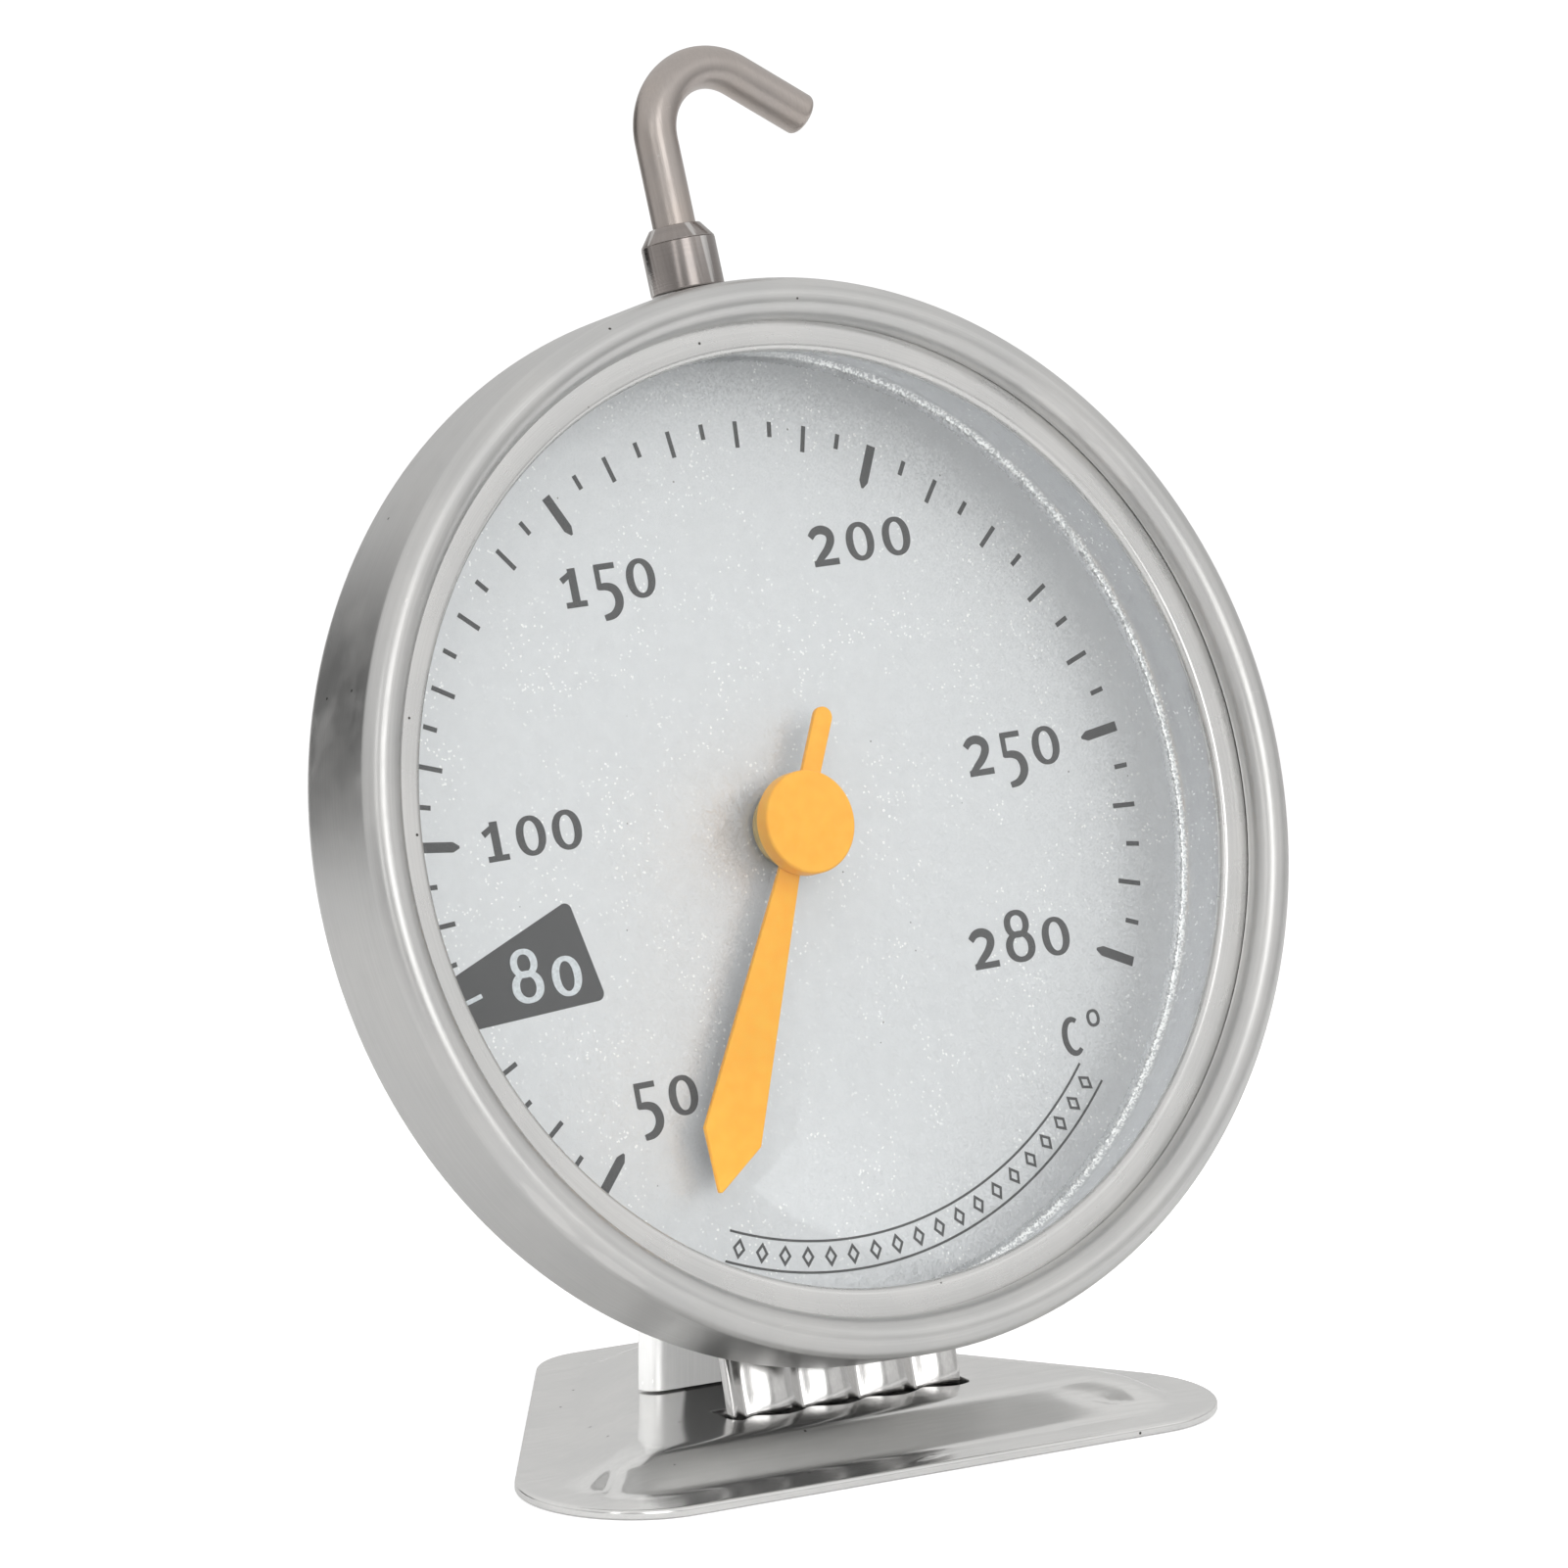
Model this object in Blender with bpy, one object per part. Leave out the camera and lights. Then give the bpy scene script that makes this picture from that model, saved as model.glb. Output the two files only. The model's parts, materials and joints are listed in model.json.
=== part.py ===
"""Oven thermometer with a round steel case, a pressed foot and a swivelling hook.

Metres, +Z up, -Y is the front. The origin is at floor level under the middle of the foot.
Run with: blender --background --python part.py
"""
import math

import bmesh
import bpy
from mathutils import Matrix, Vector

# ---- driving dimensions -------------------------------------------------------------------
CASE_RADIUS = 0.0310            # outside of the side wall
CASE_LEAN = math.radians(16.8)  # the case leans back by this much
HOOK_TURN = math.radians(-3.3)  # the hook sits this far anticlockwise of twelve o'clock
AXIS_Y = -0.0006                # centre of the dial face
AXIS_Z = 0.0346

GAP = 0.00025                   # between pieces that touch
RUNNING_GAP = 0.00008           # between a shaft and its bush
SHEET = 0.0004                  # steel sheet of the case pieces
STAND_SHEET = 0.0006            # thicker sheet of the foot and its two uprights

# Depths are measured forward from the dial face, along the case axis.
WALL_FRONT = 0.00595            # where the side wall starts to roll over
ROLL_RADIUS = 0.0012
ROLL_LEG = 0.0002               # straight inner end of the roll
CASE_REAR = -0.0008
TURN_IN = 0.0014                # width of the side wall's turned-in rear edge
LENS_FRONT = 0.00465
LENS_THICKNESS = 0.0011
LENS_RADIUS = 0.0289
OPENING_RADIUS = 0.0269         # what the lens ring leaves free
DIAL_RADIUS = 0.0281            # flat of the dial, up to its raised wall
BOSS_RADIUS = 0.0214            # raised middle of the rear cup
BOSS_DEPTH = -0.0038
BOSS_SLOPE = 0.0004             # how much narrower the boss gets on its way back
CUP_STEP_DEPTH = -0.0009
CUP_STEP_RADII = (0.0293, 0.0287)
BUSH_HOLE_RADIUS = 0.00175      # in the dial and in the cup
VENT_CIRCLE = 0.0125
VENT_RADIUS = 0.0016
VENT_ANGLES = (-114, -76, -38, 0, 38, 76, 114)

POINTER_ANGLE = math.radians(-155.3)   # rest, clockwise from twelve o'clock
POINTER_LENGTH = 0.02215
POINTER_TAIL = 0.0072
SHOULDER = 0.01885
SHOULDER_HALF_WIDTH = 0.0014
BLADE_HALF_WIDTH = 0.0006
HUB_RADIUS = 0.0030
ARBOR_RADIUS = 0.0006
BLADE_DEPTH = 0.0014
BLADE_THICKNESS = 0.00035
CAP_THICKNESS = 0.0009
CAP_BORE_DEPTH = 0.00065
ARBOR_END = 0.0007              # how far the arbor stands out of the blade
COLLET_RADIUS = 0.0018

COIL_START = 0.00225
COIL_END = 0.0070
COIL_TURNS = 5
COIL_THICKNESS = 0.00035
COIL_FRONT = -0.00115
COIL_REAR = -0.00275

HOOK_DEPTH = 0.0018
WIRE_RADIUS = 0.00125
STEM_RADIUS = 0.0008
FERRULE_RADIUS = 0.00215
FERRULE_HEIGHT = 0.00285
FERRULE_CONE = 0.00095
HOOK_BEND_HEIGHT = 0.0401       # from the case axis to where the wire starts to bend
HOOK_BEND_RADIUS = 0.00395
HOOK_BEND = math.radians(125)
HOOK_END = 0.0050               # straight run after the bend
HOOK_BEND_STEPS = 14

FOOT_FRONT = -0.0165
FOOT_BACK = 0.0165
FOOT_HALF_WIDTH = 0.0289        # where the slanted sides would meet the front edge
FOOT_SLANT = math.radians(34.4)
FRONT_CORNER = 0.0067
BACK_CORNER = 0.0046
FLANGE_WIDTH = 0.0030           # flat rim of the foot
PLATFORM_INSET = 0.0061
PLATFORM_HEIGHT = 0.0022

LEG_X = 0.0004                  # middle of the fluted leg
LEG_HALF_WIDTH = 0.0079
LEG_DEPTH = -0.00435            # middle of its sheet
LEG_TOP = -0.0060               # below the case axis
LEG_FOLD = 0.0048               # length folded back under the plate
FLUTE_PITCH = 0.0039
FLUTE_START = -0.0067           # first valley, from the middle of the leg
FLUTE_DEPTH = 0.0007
FLUTES_FULL = -0.0275           # height below which the flutes have their full depth
FLUTES_GONE = -0.0205
SLOT_CLEARANCE = 0.0007         # round the leg where it passes the plate
STRUT_Y = 0.00045
STRUT_HALF_WIDTH = 0.0077
STRUT_EDGE_RADIUS = 0.0009
STRUT_BEND_Z = 0.0135           # where the upright leans forward to the case
STRUT_FLANGE_LOW = -0.0165      # its upper flange, along the case
STRUT_FLANGE_HIGH = -0.0085
STRUT_FLANGE_WIDTH = 0.9        # of the strut's own width
STRUT_FOOT_END = 0.0067
STRUT_FOOT_WIDTH = 0.58         # of the strut's own width, at the foot's rear edge
STRUT_FOOT_TAPER = 0.0045
STAND_RIVET_X = 0.0052
STAND_RIVET_V = -0.0125
FOOT_RIVET_X = 0.0034
FOOT_RIVET_Y = 0.0047
RIVET_RADIUS = 0.0008
RIVET_HEAD_RADIUS = 0.0015

LARGE_SEGMENTS = 48
MEDIUM_SEGMENTS = 32
SMALL_SEGMENTS = 20
COIL_STEPS = 14                 # per turn
LEG_SAMPLES = 28                # across the fluted leg
LEG_ROWS = 12

# name: colour, metallic, roughness
MATERIALS = {
    "brushed_steel": ((0.62, 0.61, 0.60), 1.0, 0.32),
    "polished_steel": ((0.72, 0.71, 0.70), 1.0, 0.12),
    "ring_steel": ((0.68, 0.67, 0.66), 1.0, 0.22),
    "wire_steel": ((0.56, 0.54, 0.52), 1.0, 0.30),
    "glass": ((0.95, 0.97, 0.97), 0.0, 0.03),
    "dial_paint": ((0.72, 0.74, 0.76), 0.3, 0.45),
    "amber_paint": ((1.0, 0.55, 0.06), 0.0, 0.40),
    "bush_brass": ((0.78, 0.60, 0.30), 1.0, 0.30),
    "bimetal": ((0.60, 0.50, 0.40), 1.0, 0.35),
    "rivet_steel": ((0.60, 0.60, 0.61), 1.0, 0.28),
}


# ---- scene and materials ------------------------------------------------------------------
def clear_scene():
    for item in list(bpy.data.objects):
        bpy.data.objects.remove(item, do_unlink=True)


def make_material(name):
    colour, metallic, roughness = MATERIALS[name]
    material = bpy.data.materials.new(name)
    material.use_nodes = True
    shader = material.node_tree.nodes["Principled BSDF"]
    shader.inputs["Base Color"].default_value = (*colour, 1.0)
    shader.inputs["Metallic"].default_value = metallic
    shader.inputs["Roughness"].default_value = roughness
    if name == "glass":
        shader.inputs["Transmission Weight"].default_value = 1.0
    return material


def make_empty(name, location, rotation, parent=None):
    empty = bpy.data.objects.new(name, None)
    bpy.context.collection.objects.link(empty)
    empty.location = location
    empty.rotation_euler = rotation
    empty.parent = parent
    return empty


def finish_mesh(name, bm, material, parent=None, location=(0, 0, 0), rotation=(0, 0, 0)):
    """Turn a bmesh into a named, smooth-shaded object with outward faces."""
    bmesh.ops.remove_doubles(bm, verts=bm.verts, dist=1e-7)
    bmesh.ops.recalc_face_normals(bm, faces=bm.faces)
    mesh = bpy.data.meshes.new(name)
    bm.to_mesh(mesh)
    bm.free()
    mesh.shade_smooth()
    mesh.set_sharp_from_angle(angle=math.radians(35))
    thing = bpy.data.objects.new(name, mesh)
    bpy.context.collection.objects.link(thing)
    if material:
        mesh.materials.append(material)
    thing.parent = parent
    thing.location = location
    thing.rotation_euler = rotation
    return thing


def cut(thing, *cutters):
    for cutter in cutters:
        modifier = thing.modifiers.new("cut_" + cutter.name, "BOOLEAN")
        modifier.operation = "DIFFERENCE"
        modifier.solver = "EXACT"
        modifier.object = cutter
        cutter.hide_render = True
        cutter.display_type = "WIRE"


# ---- outlines -----------------------------------------------------------------------------
def fillet(points, radius, steps=4):
    """Round every inner corner of an open 2D path."""
    rounded = [points[0]]
    for before, corner, after in zip(points, points[1:], points[2:]):
        corner = Vector(corner)
        towards_before = (Vector(before) - corner).normalized()
        towards_after = (Vector(after) - corner).normalized()
        half_angle = towards_before.angle(towards_after) / 2
        reach = radius / math.tan(half_angle)
        centre = corner + (towards_before + towards_after).normalized() * radius / math.sin(half_angle)
        start = corner + towards_before * reach - centre
        turn = math.pi - 2 * half_angle
        side = 1 if towards_before.cross(towards_after) < 0 else -1
        for step in range(steps + 1):
            swing = Matrix.Rotation(side * turn * step / steps, 2)
            rounded.append(tuple(centre + swing @ start))
    rounded.append(points[-1])
    return rounded


def offset_path(points, distance):
    """Shift an open 2D path sideways, to its left for a positive distance."""
    shifted = []
    for index, point in enumerate(points):
        here = Vector(point)
        before = here - Vector(points[index - 1]) if index else None
        after = Vector(points[index + 1]) - here if index + 1 < len(points) else None
        before = (before or after).normalized()
        after = (after or before).normalized()
        mitre = (before + after).normalized()
        left = Vector((-mitre.y, mitre.x))
        stretch = distance / max(mitre.dot(after), 0.3)
        shifted.append(tuple(here + left * stretch))
    return shifted


def sheet_outline(path, thickness):
    """Closed outline of a sheet whose middle follows the path."""
    return offset_path(path, thickness / 2) + offset_path(path, -thickness / 2)[::-1]


def arc(centre, radius, start, end, steps):
    """Points on an arc, angles in degrees from the first axis towards the second."""
    points = []
    for step in range(steps + 1):
        angle = math.radians(start + (end - start) * step / steps)
        points.append((centre[0] + radius * math.cos(angle), centre[1] + radius * math.sin(angle)))
    return points


def circle(centre, radius):
    """Closed circle whose corners keep clear of the axes."""
    half_step = 180 / SMALL_SEGMENTS
    return arc(centre, radius, half_step, 360 - half_step, SMALL_SEGMENTS - 1)


def ramp(value, start, end):
    """0 at the start value, 1 at the end value, straight in between."""
    return min(max((value - start) / (end - start), 0), 1)


# ---- solids -------------------------------------------------------------------------------
def turned(name, outline, material, segments=SMALL_SEGMENTS, **placing):
    """Spin a (radius, depth) outline round the local Y axis; depth points to -Y.

    An outline that starts and ends on the axis is left open there.
    """
    bm = bmesh.new()
    verts = [bm.verts.new((radius, -depth, 0)) for radius, depth in outline]
    on_axis = outline[0][0] == 0 and outline[-1][0] == 0
    pairs = list(zip(verts, verts[1:]))
    if not on_axis:
        pairs.append((verts[-1], verts[0]))
    edges = [bm.edges.new(pair) for pair in pairs]
    bmesh.ops.spin(bm, geom=verts + edges, cent=(0, 0, 0), axis=(0, 1, 0), angle=2 * math.pi,
                   steps=segments, use_merge=True, use_duplicate=False)
    return finish_mesh(name, bm, material, **placing)


def cylinder(name, radius, bottom, top, segments=SMALL_SEGMENTS, **placing):
    return turned(name, [(0, bottom), (radius, bottom), (radius, top), (0, top)], None,
                  segments, **placing)


def add_prism(bm, outline, low, high, to_point):
    """Add the solid between two levels over a closed 2D outline."""
    bottom = [bm.verts.new(to_point(a, b, low)) for a, b in outline]
    top = [bm.verts.new(to_point(a, b, high)) for a, b in outline]
    bm.faces.new(bottom[::-1])
    bm.faces.new(top)
    for index in range(len(outline)):
        following = (index + 1) % len(outline)
        bm.faces.new((bottom[index], bottom[following], top[following], top[index]))


def skin_rings(bm, rings, capped=True):
    """Join closed rings of vertices, one after the other, and close both ends."""
    for ring, following in zip(rings, rings[1:]):
        for index in range(len(ring)):
            after = (index + 1) % len(ring)
            bm.faces.new((ring[index], ring[after], following[after], following[index]))
    if capped:
        bm.faces.new(rings[0][::-1])
        bm.faces.new(rings[-1])


def formed_strip(name, rows, section, thickness, material):
    """Sheet strip that follows a bent path in the YZ plane.

    rows: (y, z, width factor, bulge factor); section: (x, bulge) across the strip.
    """
    path = [(row[0], row[1]) for row in rows]
    bm = bmesh.new()
    rings = []
    for index, (y, z, width, bulge) in enumerate(rows):
        start = Vector(path[max(index - 1, 0)])
        end = Vector(path[min(index + 1, len(path) - 1)])
        along = (end - start).normalized()
        across = [(x * width, rise * bulge) for x, rise in section]
        ring = []
        for x, out in sheet_outline(across, thickness):
            ring.append(bm.verts.new((x, y - along.y * out, z + along.x * out)))
        rings.append(ring)
    count = len(section)
    for ring, following in zip(rings, rings[1:]):
        for index in range(2 * count):
            after = (index + 1) % (2 * count)
            bm.faces.new((ring[index], ring[after], following[after], following[index]))
    for ring in (rings[0], rings[-1]):
        for index in range(count - 1):
            bm.faces.new((ring[index], ring[index + 1], ring[-2 - index], ring[-1 - index]))
    return finish_mesh(name, bm, material)


# ---- places on the leaning case -----------------------------------------------------------
def case_point(height, depth):
    """(y, z) of a point in the middle plane: height up the dial, depth in front of it."""
    y = AXIS_Y + height * math.sin(CASE_LEAN) - depth * math.cos(CASE_LEAN)
    z = AXIS_Z + height * math.cos(CASE_LEAN) + depth * math.sin(CASE_LEAN)
    return y, z


# ---- case ---------------------------------------------------------------------------------
def make_bezel_ring(material, head):
    """Side wall, rolled over in front and turned in behind."""
    middle = SHEET / 2
    wall = CASE_RADIUS - middle
    roll_centre = (CASE_RADIUS - ROLL_RADIUS, WALL_FRONT)
    corner_radius = 0.0008
    corner_start = WALL_FRONT - 0.0010
    path = [(roll_centre[0] - ROLL_RADIUS + middle, WALL_FRONT - ROLL_LEG)]
    path += arc(roll_centre, ROLL_RADIUS - middle, 180, 0, 8)
    corner = fillet([(wall, corner_start), (wall, CASE_REAR + middle),
                     (CASE_RADIUS - TURN_IN, CASE_REAR + middle)], corner_radius, 3)
    path += corner[1:]
    return turned("bezel_ring", sheet_outline(path, SHEET), material, LARGE_SEGMENTS, parent=head)


def make_rear_cup(material, head):
    """Drawn cup inside the bezel ring, with a raised middle for the coil."""
    middle = SHEET / 2
    wall = CASE_RADIUS - SHEET - GAP - middle
    rim = LENS_FRONT - 0.0001
    bend_radius = 0.0003
    outer, inner = CUP_STEP_RADII
    corner = [(wall, rim), (wall, 0), (outer, 0), (inner, CUP_STEP_DEPTH)]
    boss = [(BOSS_RADIUS + BOSS_SLOPE / 2, CUP_STEP_DEPTH),
            (BOSS_RADIUS - BOSS_SLOPE / 2, BOSS_DEPTH + middle), (BUSH_HOLE_RADIUS, BOSS_DEPTH + middle)]
    path = fillet(corner + boss, bend_radius, 1)
    return turned("rear_cup", sheet_outline(path, SHEET), material, LARGE_SEGMENTS, parent=head)


def make_lens_ring(material, head):
    """Flat ring that holds the lens, tucked under the rolled rim."""
    face = WALL_FRONT - ROLL_LEG - GAP - SHEET / 2
    outer_radius = 0.0299
    bend_radius = 0.00025
    path = fillet([(outer_radius, face), (OPENING_RADIUS + SHEET / 2, face),
                   (OPENING_RADIUS + SHEET / 2, LENS_FRONT + GAP)], bend_radius, 2)
    return turned("lens_ring", sheet_outline(path, SHEET), material, LARGE_SEGMENTS, parent=head)


def make_lens(material, head):
    rear = LENS_FRONT - LENS_THICKNESS
    edge = 0.0002
    outline = [(0, rear), (LENS_RADIUS - edge, rear), (LENS_RADIUS, rear + edge),
               (LENS_RADIUS, LENS_FRONT - edge), (LENS_RADIUS - edge, LENS_FRONT), (0, LENS_FRONT)]
    return turned("lens", outline, material, LARGE_SEGMENTS, parent=head)


def make_dial_plate(material, head):
    """Painted dish: flat dial with a raised wall that carries the lens."""
    middle = SHEET / 2
    wall = DIAL_RADIUS + middle
    rim = LENS_FRONT - LENS_THICKNESS - GAP
    bend_radius = 0.0006
    path = fillet([(BUSH_HOLE_RADIUS, -middle), (wall, -middle), (wall, rim)], bend_radius, 3)
    return turned("dial_plate", sheet_outline(path, SHEET), material, LARGE_SEGMENTS, parent=head)


# ---- movement -----------------------------------------------------------------------------
BUSH_BORE = ARBOR_RADIUS + RUNNING_GAP
BUSH_RADIUS = 0.0015
BUSH_FLANGE_RADIUS = 0.0023
BUSH_FLANGE = 0.00035
BUSH_PEEN_RADIUS = 0.0020       # the bush's other end, peened over behind the sheet
BUSH_PEEN = 0.0003


def make_front_bush(material, head):
    front = GAP + BUSH_FLANGE
    rear = -SHEET - GAP
    outline = [(BUSH_BORE, front), (BUSH_FLANGE_RADIUS, front), (BUSH_FLANGE_RADIUS, GAP),
               (BUSH_RADIUS, GAP), (BUSH_RADIUS, rear), (BUSH_PEEN_RADIUS, rear),
               (BUSH_PEEN_RADIUS, rear - BUSH_PEEN), (BUSH_BORE, rear - BUSH_PEEN)]
    return turned("front_bush", outline, material, parent=head)


def make_rear_bush(material, head):
    """Blind bush in the middle of the cup."""
    inside = BOSS_DEPTH + SHEET + GAP
    outside = BOSS_DEPTH - GAP
    outline = [(0, outside - BUSH_FLANGE), (BUSH_FLANGE_RADIUS, outside - BUSH_FLANGE),
               (BUSH_FLANGE_RADIUS, outside), (BUSH_RADIUS, outside), (BUSH_RADIUS, inside),
               (BUSH_PEEN_RADIUS, inside), (BUSH_PEEN_RADIUS, inside + BUSH_PEEN),
               (BUSH_BORE, inside + BUSH_PEEN), (BUSH_BORE, outside), (0, outside)]
    return turned("rear_bush", outline, material, parent=head)


def make_arbor(material, spindle):
    rear = BOSS_DEPTH - GAP / 2
    front = BLADE_DEPTH + BLADE_THICKNESS + ARBOR_END
    tip = 0.0002
    outline = [(0, rear), (ARBOR_RADIUS - tip, rear), (ARBOR_RADIUS, rear + tip),
               (ARBOR_RADIUS, front - tip), (ARBOR_RADIUS - tip, front), (0, front)]
    return turned("pointer_arbor", outline, material, parent=spindle)


def make_pointer_blade(material, spindle):
    """Flat pointer along local +Z: rounded tail, hub, widening blade and triangular tip."""
    hub = 0.0019
    hub_z = math.sqrt(hub ** 2 - BLADE_HALF_WIDTH ** 2)
    tail_centre = (0, -POINTER_TAIL + BLADE_HALF_WIDTH)
    hub_angle = math.degrees(math.asin(BLADE_HALF_WIDTH / hub))
    tip_half_width = 0.00008
    outline = arc(tail_centre, BLADE_HALF_WIDTH, 180, 360, 8)
    outline += arc((0, 0), hub, -90 + hub_angle, 90 - hub_angle, 12)
    outline += [(SHOULDER_HALF_WIDTH, SHOULDER), (tip_half_width, POINTER_LENGTH),
                (-tip_half_width, POINTER_LENGTH), (-SHOULDER_HALF_WIDTH, SHOULDER)]
    outline += arc((0, 0), hub, 90 + hub_angle, 270 - hub_angle, 12)
    bm = bmesh.new()
    add_prism(bm, outline, BLADE_DEPTH, BLADE_DEPTH + BLADE_THICKNESS,
              lambda x, z, depth: (x, -depth, z))
    blade = finish_mesh("pointer_blade", bm, material, parent=spindle)
    bore = cylinder("blade_bore_cutter", BUSH_BORE, 0, 2 * BLADE_DEPTH, parent=spindle)
    cut(blade, bore)
    return blade


def make_pointer_cap(material, spindle):
    rear = BLADE_DEPTH + BLADE_THICKNESS + GAP
    front = rear + CAP_THICKNESS
    edge = 0.00015
    bore_end = rear + CAP_BORE_DEPTH
    outline = [(0, bore_end), (BUSH_BORE, bore_end), (BUSH_BORE, rear), (HUB_RADIUS, rear),
               (HUB_RADIUS, front - edge), (HUB_RADIUS - edge, front), (0, front)]
    return turned("pointer_cap", outline, material, MEDIUM_SEGMENTS, parent=spindle)


def make_coil_collet(material, spindle):
    outline = [(BUSH_BORE, COIL_REAR), (COLLET_RADIUS, COIL_REAR), (COLLET_RADIUS, COIL_FRONT),
               (BUSH_BORE, COIL_FRONT)]
    return turned("coil_collet", outline, material, parent=spindle)


COIL_POST_RADIUS = 0.0005
COIL_POST_X = COIL_END + 0.0015
COIL_POST_FOOT_RADIUS = 0.0009
COIL_POST_FOOT = 0.00025


def make_bimetal_coil(material, head):
    """Flat spiral strip whose outer end runs out to the post."""
    steps = COIL_STEPS * COIL_TURNS
    centre_line = []
    for step in range(steps + 1):
        angle = 2 * math.pi * COIL_TURNS * step / steps
        radius = COIL_START + (COIL_END - COIL_START) * step / steps
        centre_line.append((radius * math.cos(angle), radius * math.sin(angle)))
    reach = COIL_POST_X - COIL_POST_RADIUS - GAP
    kick = (COIL_END + 0.0001, -0.0004)
    centre_line[-1] = kick
    centre_line.append((reach, 0))
    outline = sheet_outline(centre_line, COIL_THICKNESS)
    count = len(outline)
    bm = bmesh.new()
    rear = [bm.verts.new((x, -COIL_REAR, z)) for x, z in outline]
    front = [bm.verts.new((x, -COIL_FRONT, z)) for x, z in outline]
    for index in range(count):
        after = (index + 1) % count
        bm.faces.new((rear[index], rear[after], front[after], front[index]))
    for ring in (rear, front):
        for index in range(count // 2 - 1):
            bm.faces.new((ring[index], ring[index + 1], ring[-2 - index], ring[-1 - index]))
    return finish_mesh("bimetal_coil", bm, material, parent=head)


def make_coil_post(material, head):
    """Stud on the cup's floor that holds the coil's outer end."""
    foot = BOSS_DEPTH + SHEET + GAP
    outline = [(0, foot), (COIL_POST_FOOT_RADIUS, foot), (COIL_POST_FOOT_RADIUS, foot + COIL_POST_FOOT),
               (COIL_POST_RADIUS, foot + COIL_POST_FOOT), (COIL_POST_RADIUS, COIL_FRONT), (0, COIL_FRONT)]
    return turned("coil_post", outline, material, parent=head, location=(COIL_POST_X, 0, 0))


# ---- hook ---------------------------------------------------------------------------------
FERRULE_FOOT = CASE_RADIUS + GAP


def make_hook_wire(material, swivel):
    """Stem with a peened head inside the case, then the bent wire. Local Z is the swivel axis."""
    head_radius = 0.0011
    head_low = 0.02875
    head_high = 0.0291
    head_edge = 0.0001
    end_round = 0.0003
    rows = [(0, head_low, 0, head_radius - head_edge), (0, head_low + head_edge, 0, head_radius),
            (0, head_high, 0, head_radius), (0, head_high, 0, STEM_RADIUS),
            (0, FERRULE_FOOT, 0, STEM_RADIUS), (0, FERRULE_FOOT, 0, WIRE_RADIUS)]
    for step in range(HOOK_BEND_STEPS + 1):
        turn = HOOK_BEND * step / HOOK_BEND_STEPS
        x = HOOK_BEND_RADIUS * (1 - math.cos(turn))
        z = HOOK_BEND_HEIGHT + HOOK_BEND_RADIUS * math.sin(turn)
        rows.append((x, z, turn, WIRE_RADIUS))
    bend_x, bend_z = rows[-1][:2]
    for run, radius in ((HOOK_END - end_round, WIRE_RADIUS), (HOOK_END, WIRE_RADIUS - end_round)):
        x = bend_x + run * math.sin(HOOK_BEND)
        z = bend_z + run * math.cos(HOOK_BEND)
        rows.append((x, z, HOOK_BEND, radius))
    bm = bmesh.new()
    rings = []
    for x, z, turn, radius in rows:
        ring = []
        for index in range(SMALL_SEGMENTS):
            angle = 2 * math.pi * index / SMALL_SEGMENTS
            side = radius * math.cos(angle)
            ring.append(bm.verts.new((x + side * math.cos(turn), radius * math.sin(angle),
                                      z - side * math.sin(turn))))
        rings.append(ring)
    skin_rings(bm, rings)
    return finish_mesh("hook_wire", bm, material, parent=swivel)


UPRIGHT = (-math.pi / 2, 0, 0)    # turns a turned piece's depth axis to +Z


def make_hook_ferrule(material, swivel):
    bore = WIRE_RADIUS + RUNNING_GAP
    top = FERRULE_FOOT + FERRULE_HEIGHT
    edge = 0.00012
    cone_rim = bore + 0.00018
    outline = [(bore, FERRULE_FOOT), (FERRULE_RADIUS - edge, FERRULE_FOOT),
               (FERRULE_RADIUS, FERRULE_FOOT + edge), (FERRULE_RADIUS, top),
               (cone_rim, top + FERRULE_CONE), (bore, top + FERRULE_CONE)]
    return turned("hook_ferrule", outline, material, parent=swivel, rotation=UPRIGHT)


def make_hook_washer(material, swivel):
    play = 0.0003
    thickness = 0.00035
    radius = 0.00145
    bore = STEM_RADIUS + RUNNING_GAP
    top = CASE_RADIUS - 2 * SHEET - GAP - play
    outline = [(bore, top - thickness), (radius, top - thickness), (radius, top), (bore, top)]
    return turned("hook_washer", outline, material, parent=swivel, rotation=UPRIGHT)


# ---- stand --------------------------------------------------------------------------------
def foot_outline(inset):
    """Rounded trapezoid, wide in front, moved inwards by the inset."""
    front = FOOT_FRONT + inset
    back = FOOT_BACK - inset
    slack = inset / math.cos(FOOT_SLANT)
    front_half = FOOT_HALF_WIDTH - (front - FOOT_FRONT) * math.tan(FOOT_SLANT) - slack
    back_half = FOOT_HALF_WIDTH - (back - FOOT_FRONT) * math.tan(FOOT_SLANT) - slack
    tightest = 0.0009
    corners = [((-front_half, front), max(FRONT_CORNER - inset, tightest)),
               ((front_half, front), max(FRONT_CORNER - inset, tightest)),
               ((back_half, back), max(BACK_CORNER - inset, tightest)),
               ((-back_half, back), max(BACK_CORNER - inset, tightest))]
    outline = []
    for index, (corner, radius) in enumerate(corners):
        before = corners[index - 1][0]
        after = corners[(index + 1) % len(corners)][0]
        outline += fillet([before, corner, after], radius, 9)[1:-1]
    return outline


def flute_line():
    """(x, how far the fluted sheet stands forward) across the leg."""
    line = []
    for index in range(LEG_SAMPLES + 1):
        across = LEG_HALF_WIDTH * (2 * index / LEG_SAMPLES - 1)
        within = (across - FLUTE_START) / FLUTE_PITCH % 1
        line.append((LEG_X + across, FLUTE_DEPTH * (1 - (2 * within - 1) ** 2)))
    return line


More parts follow.
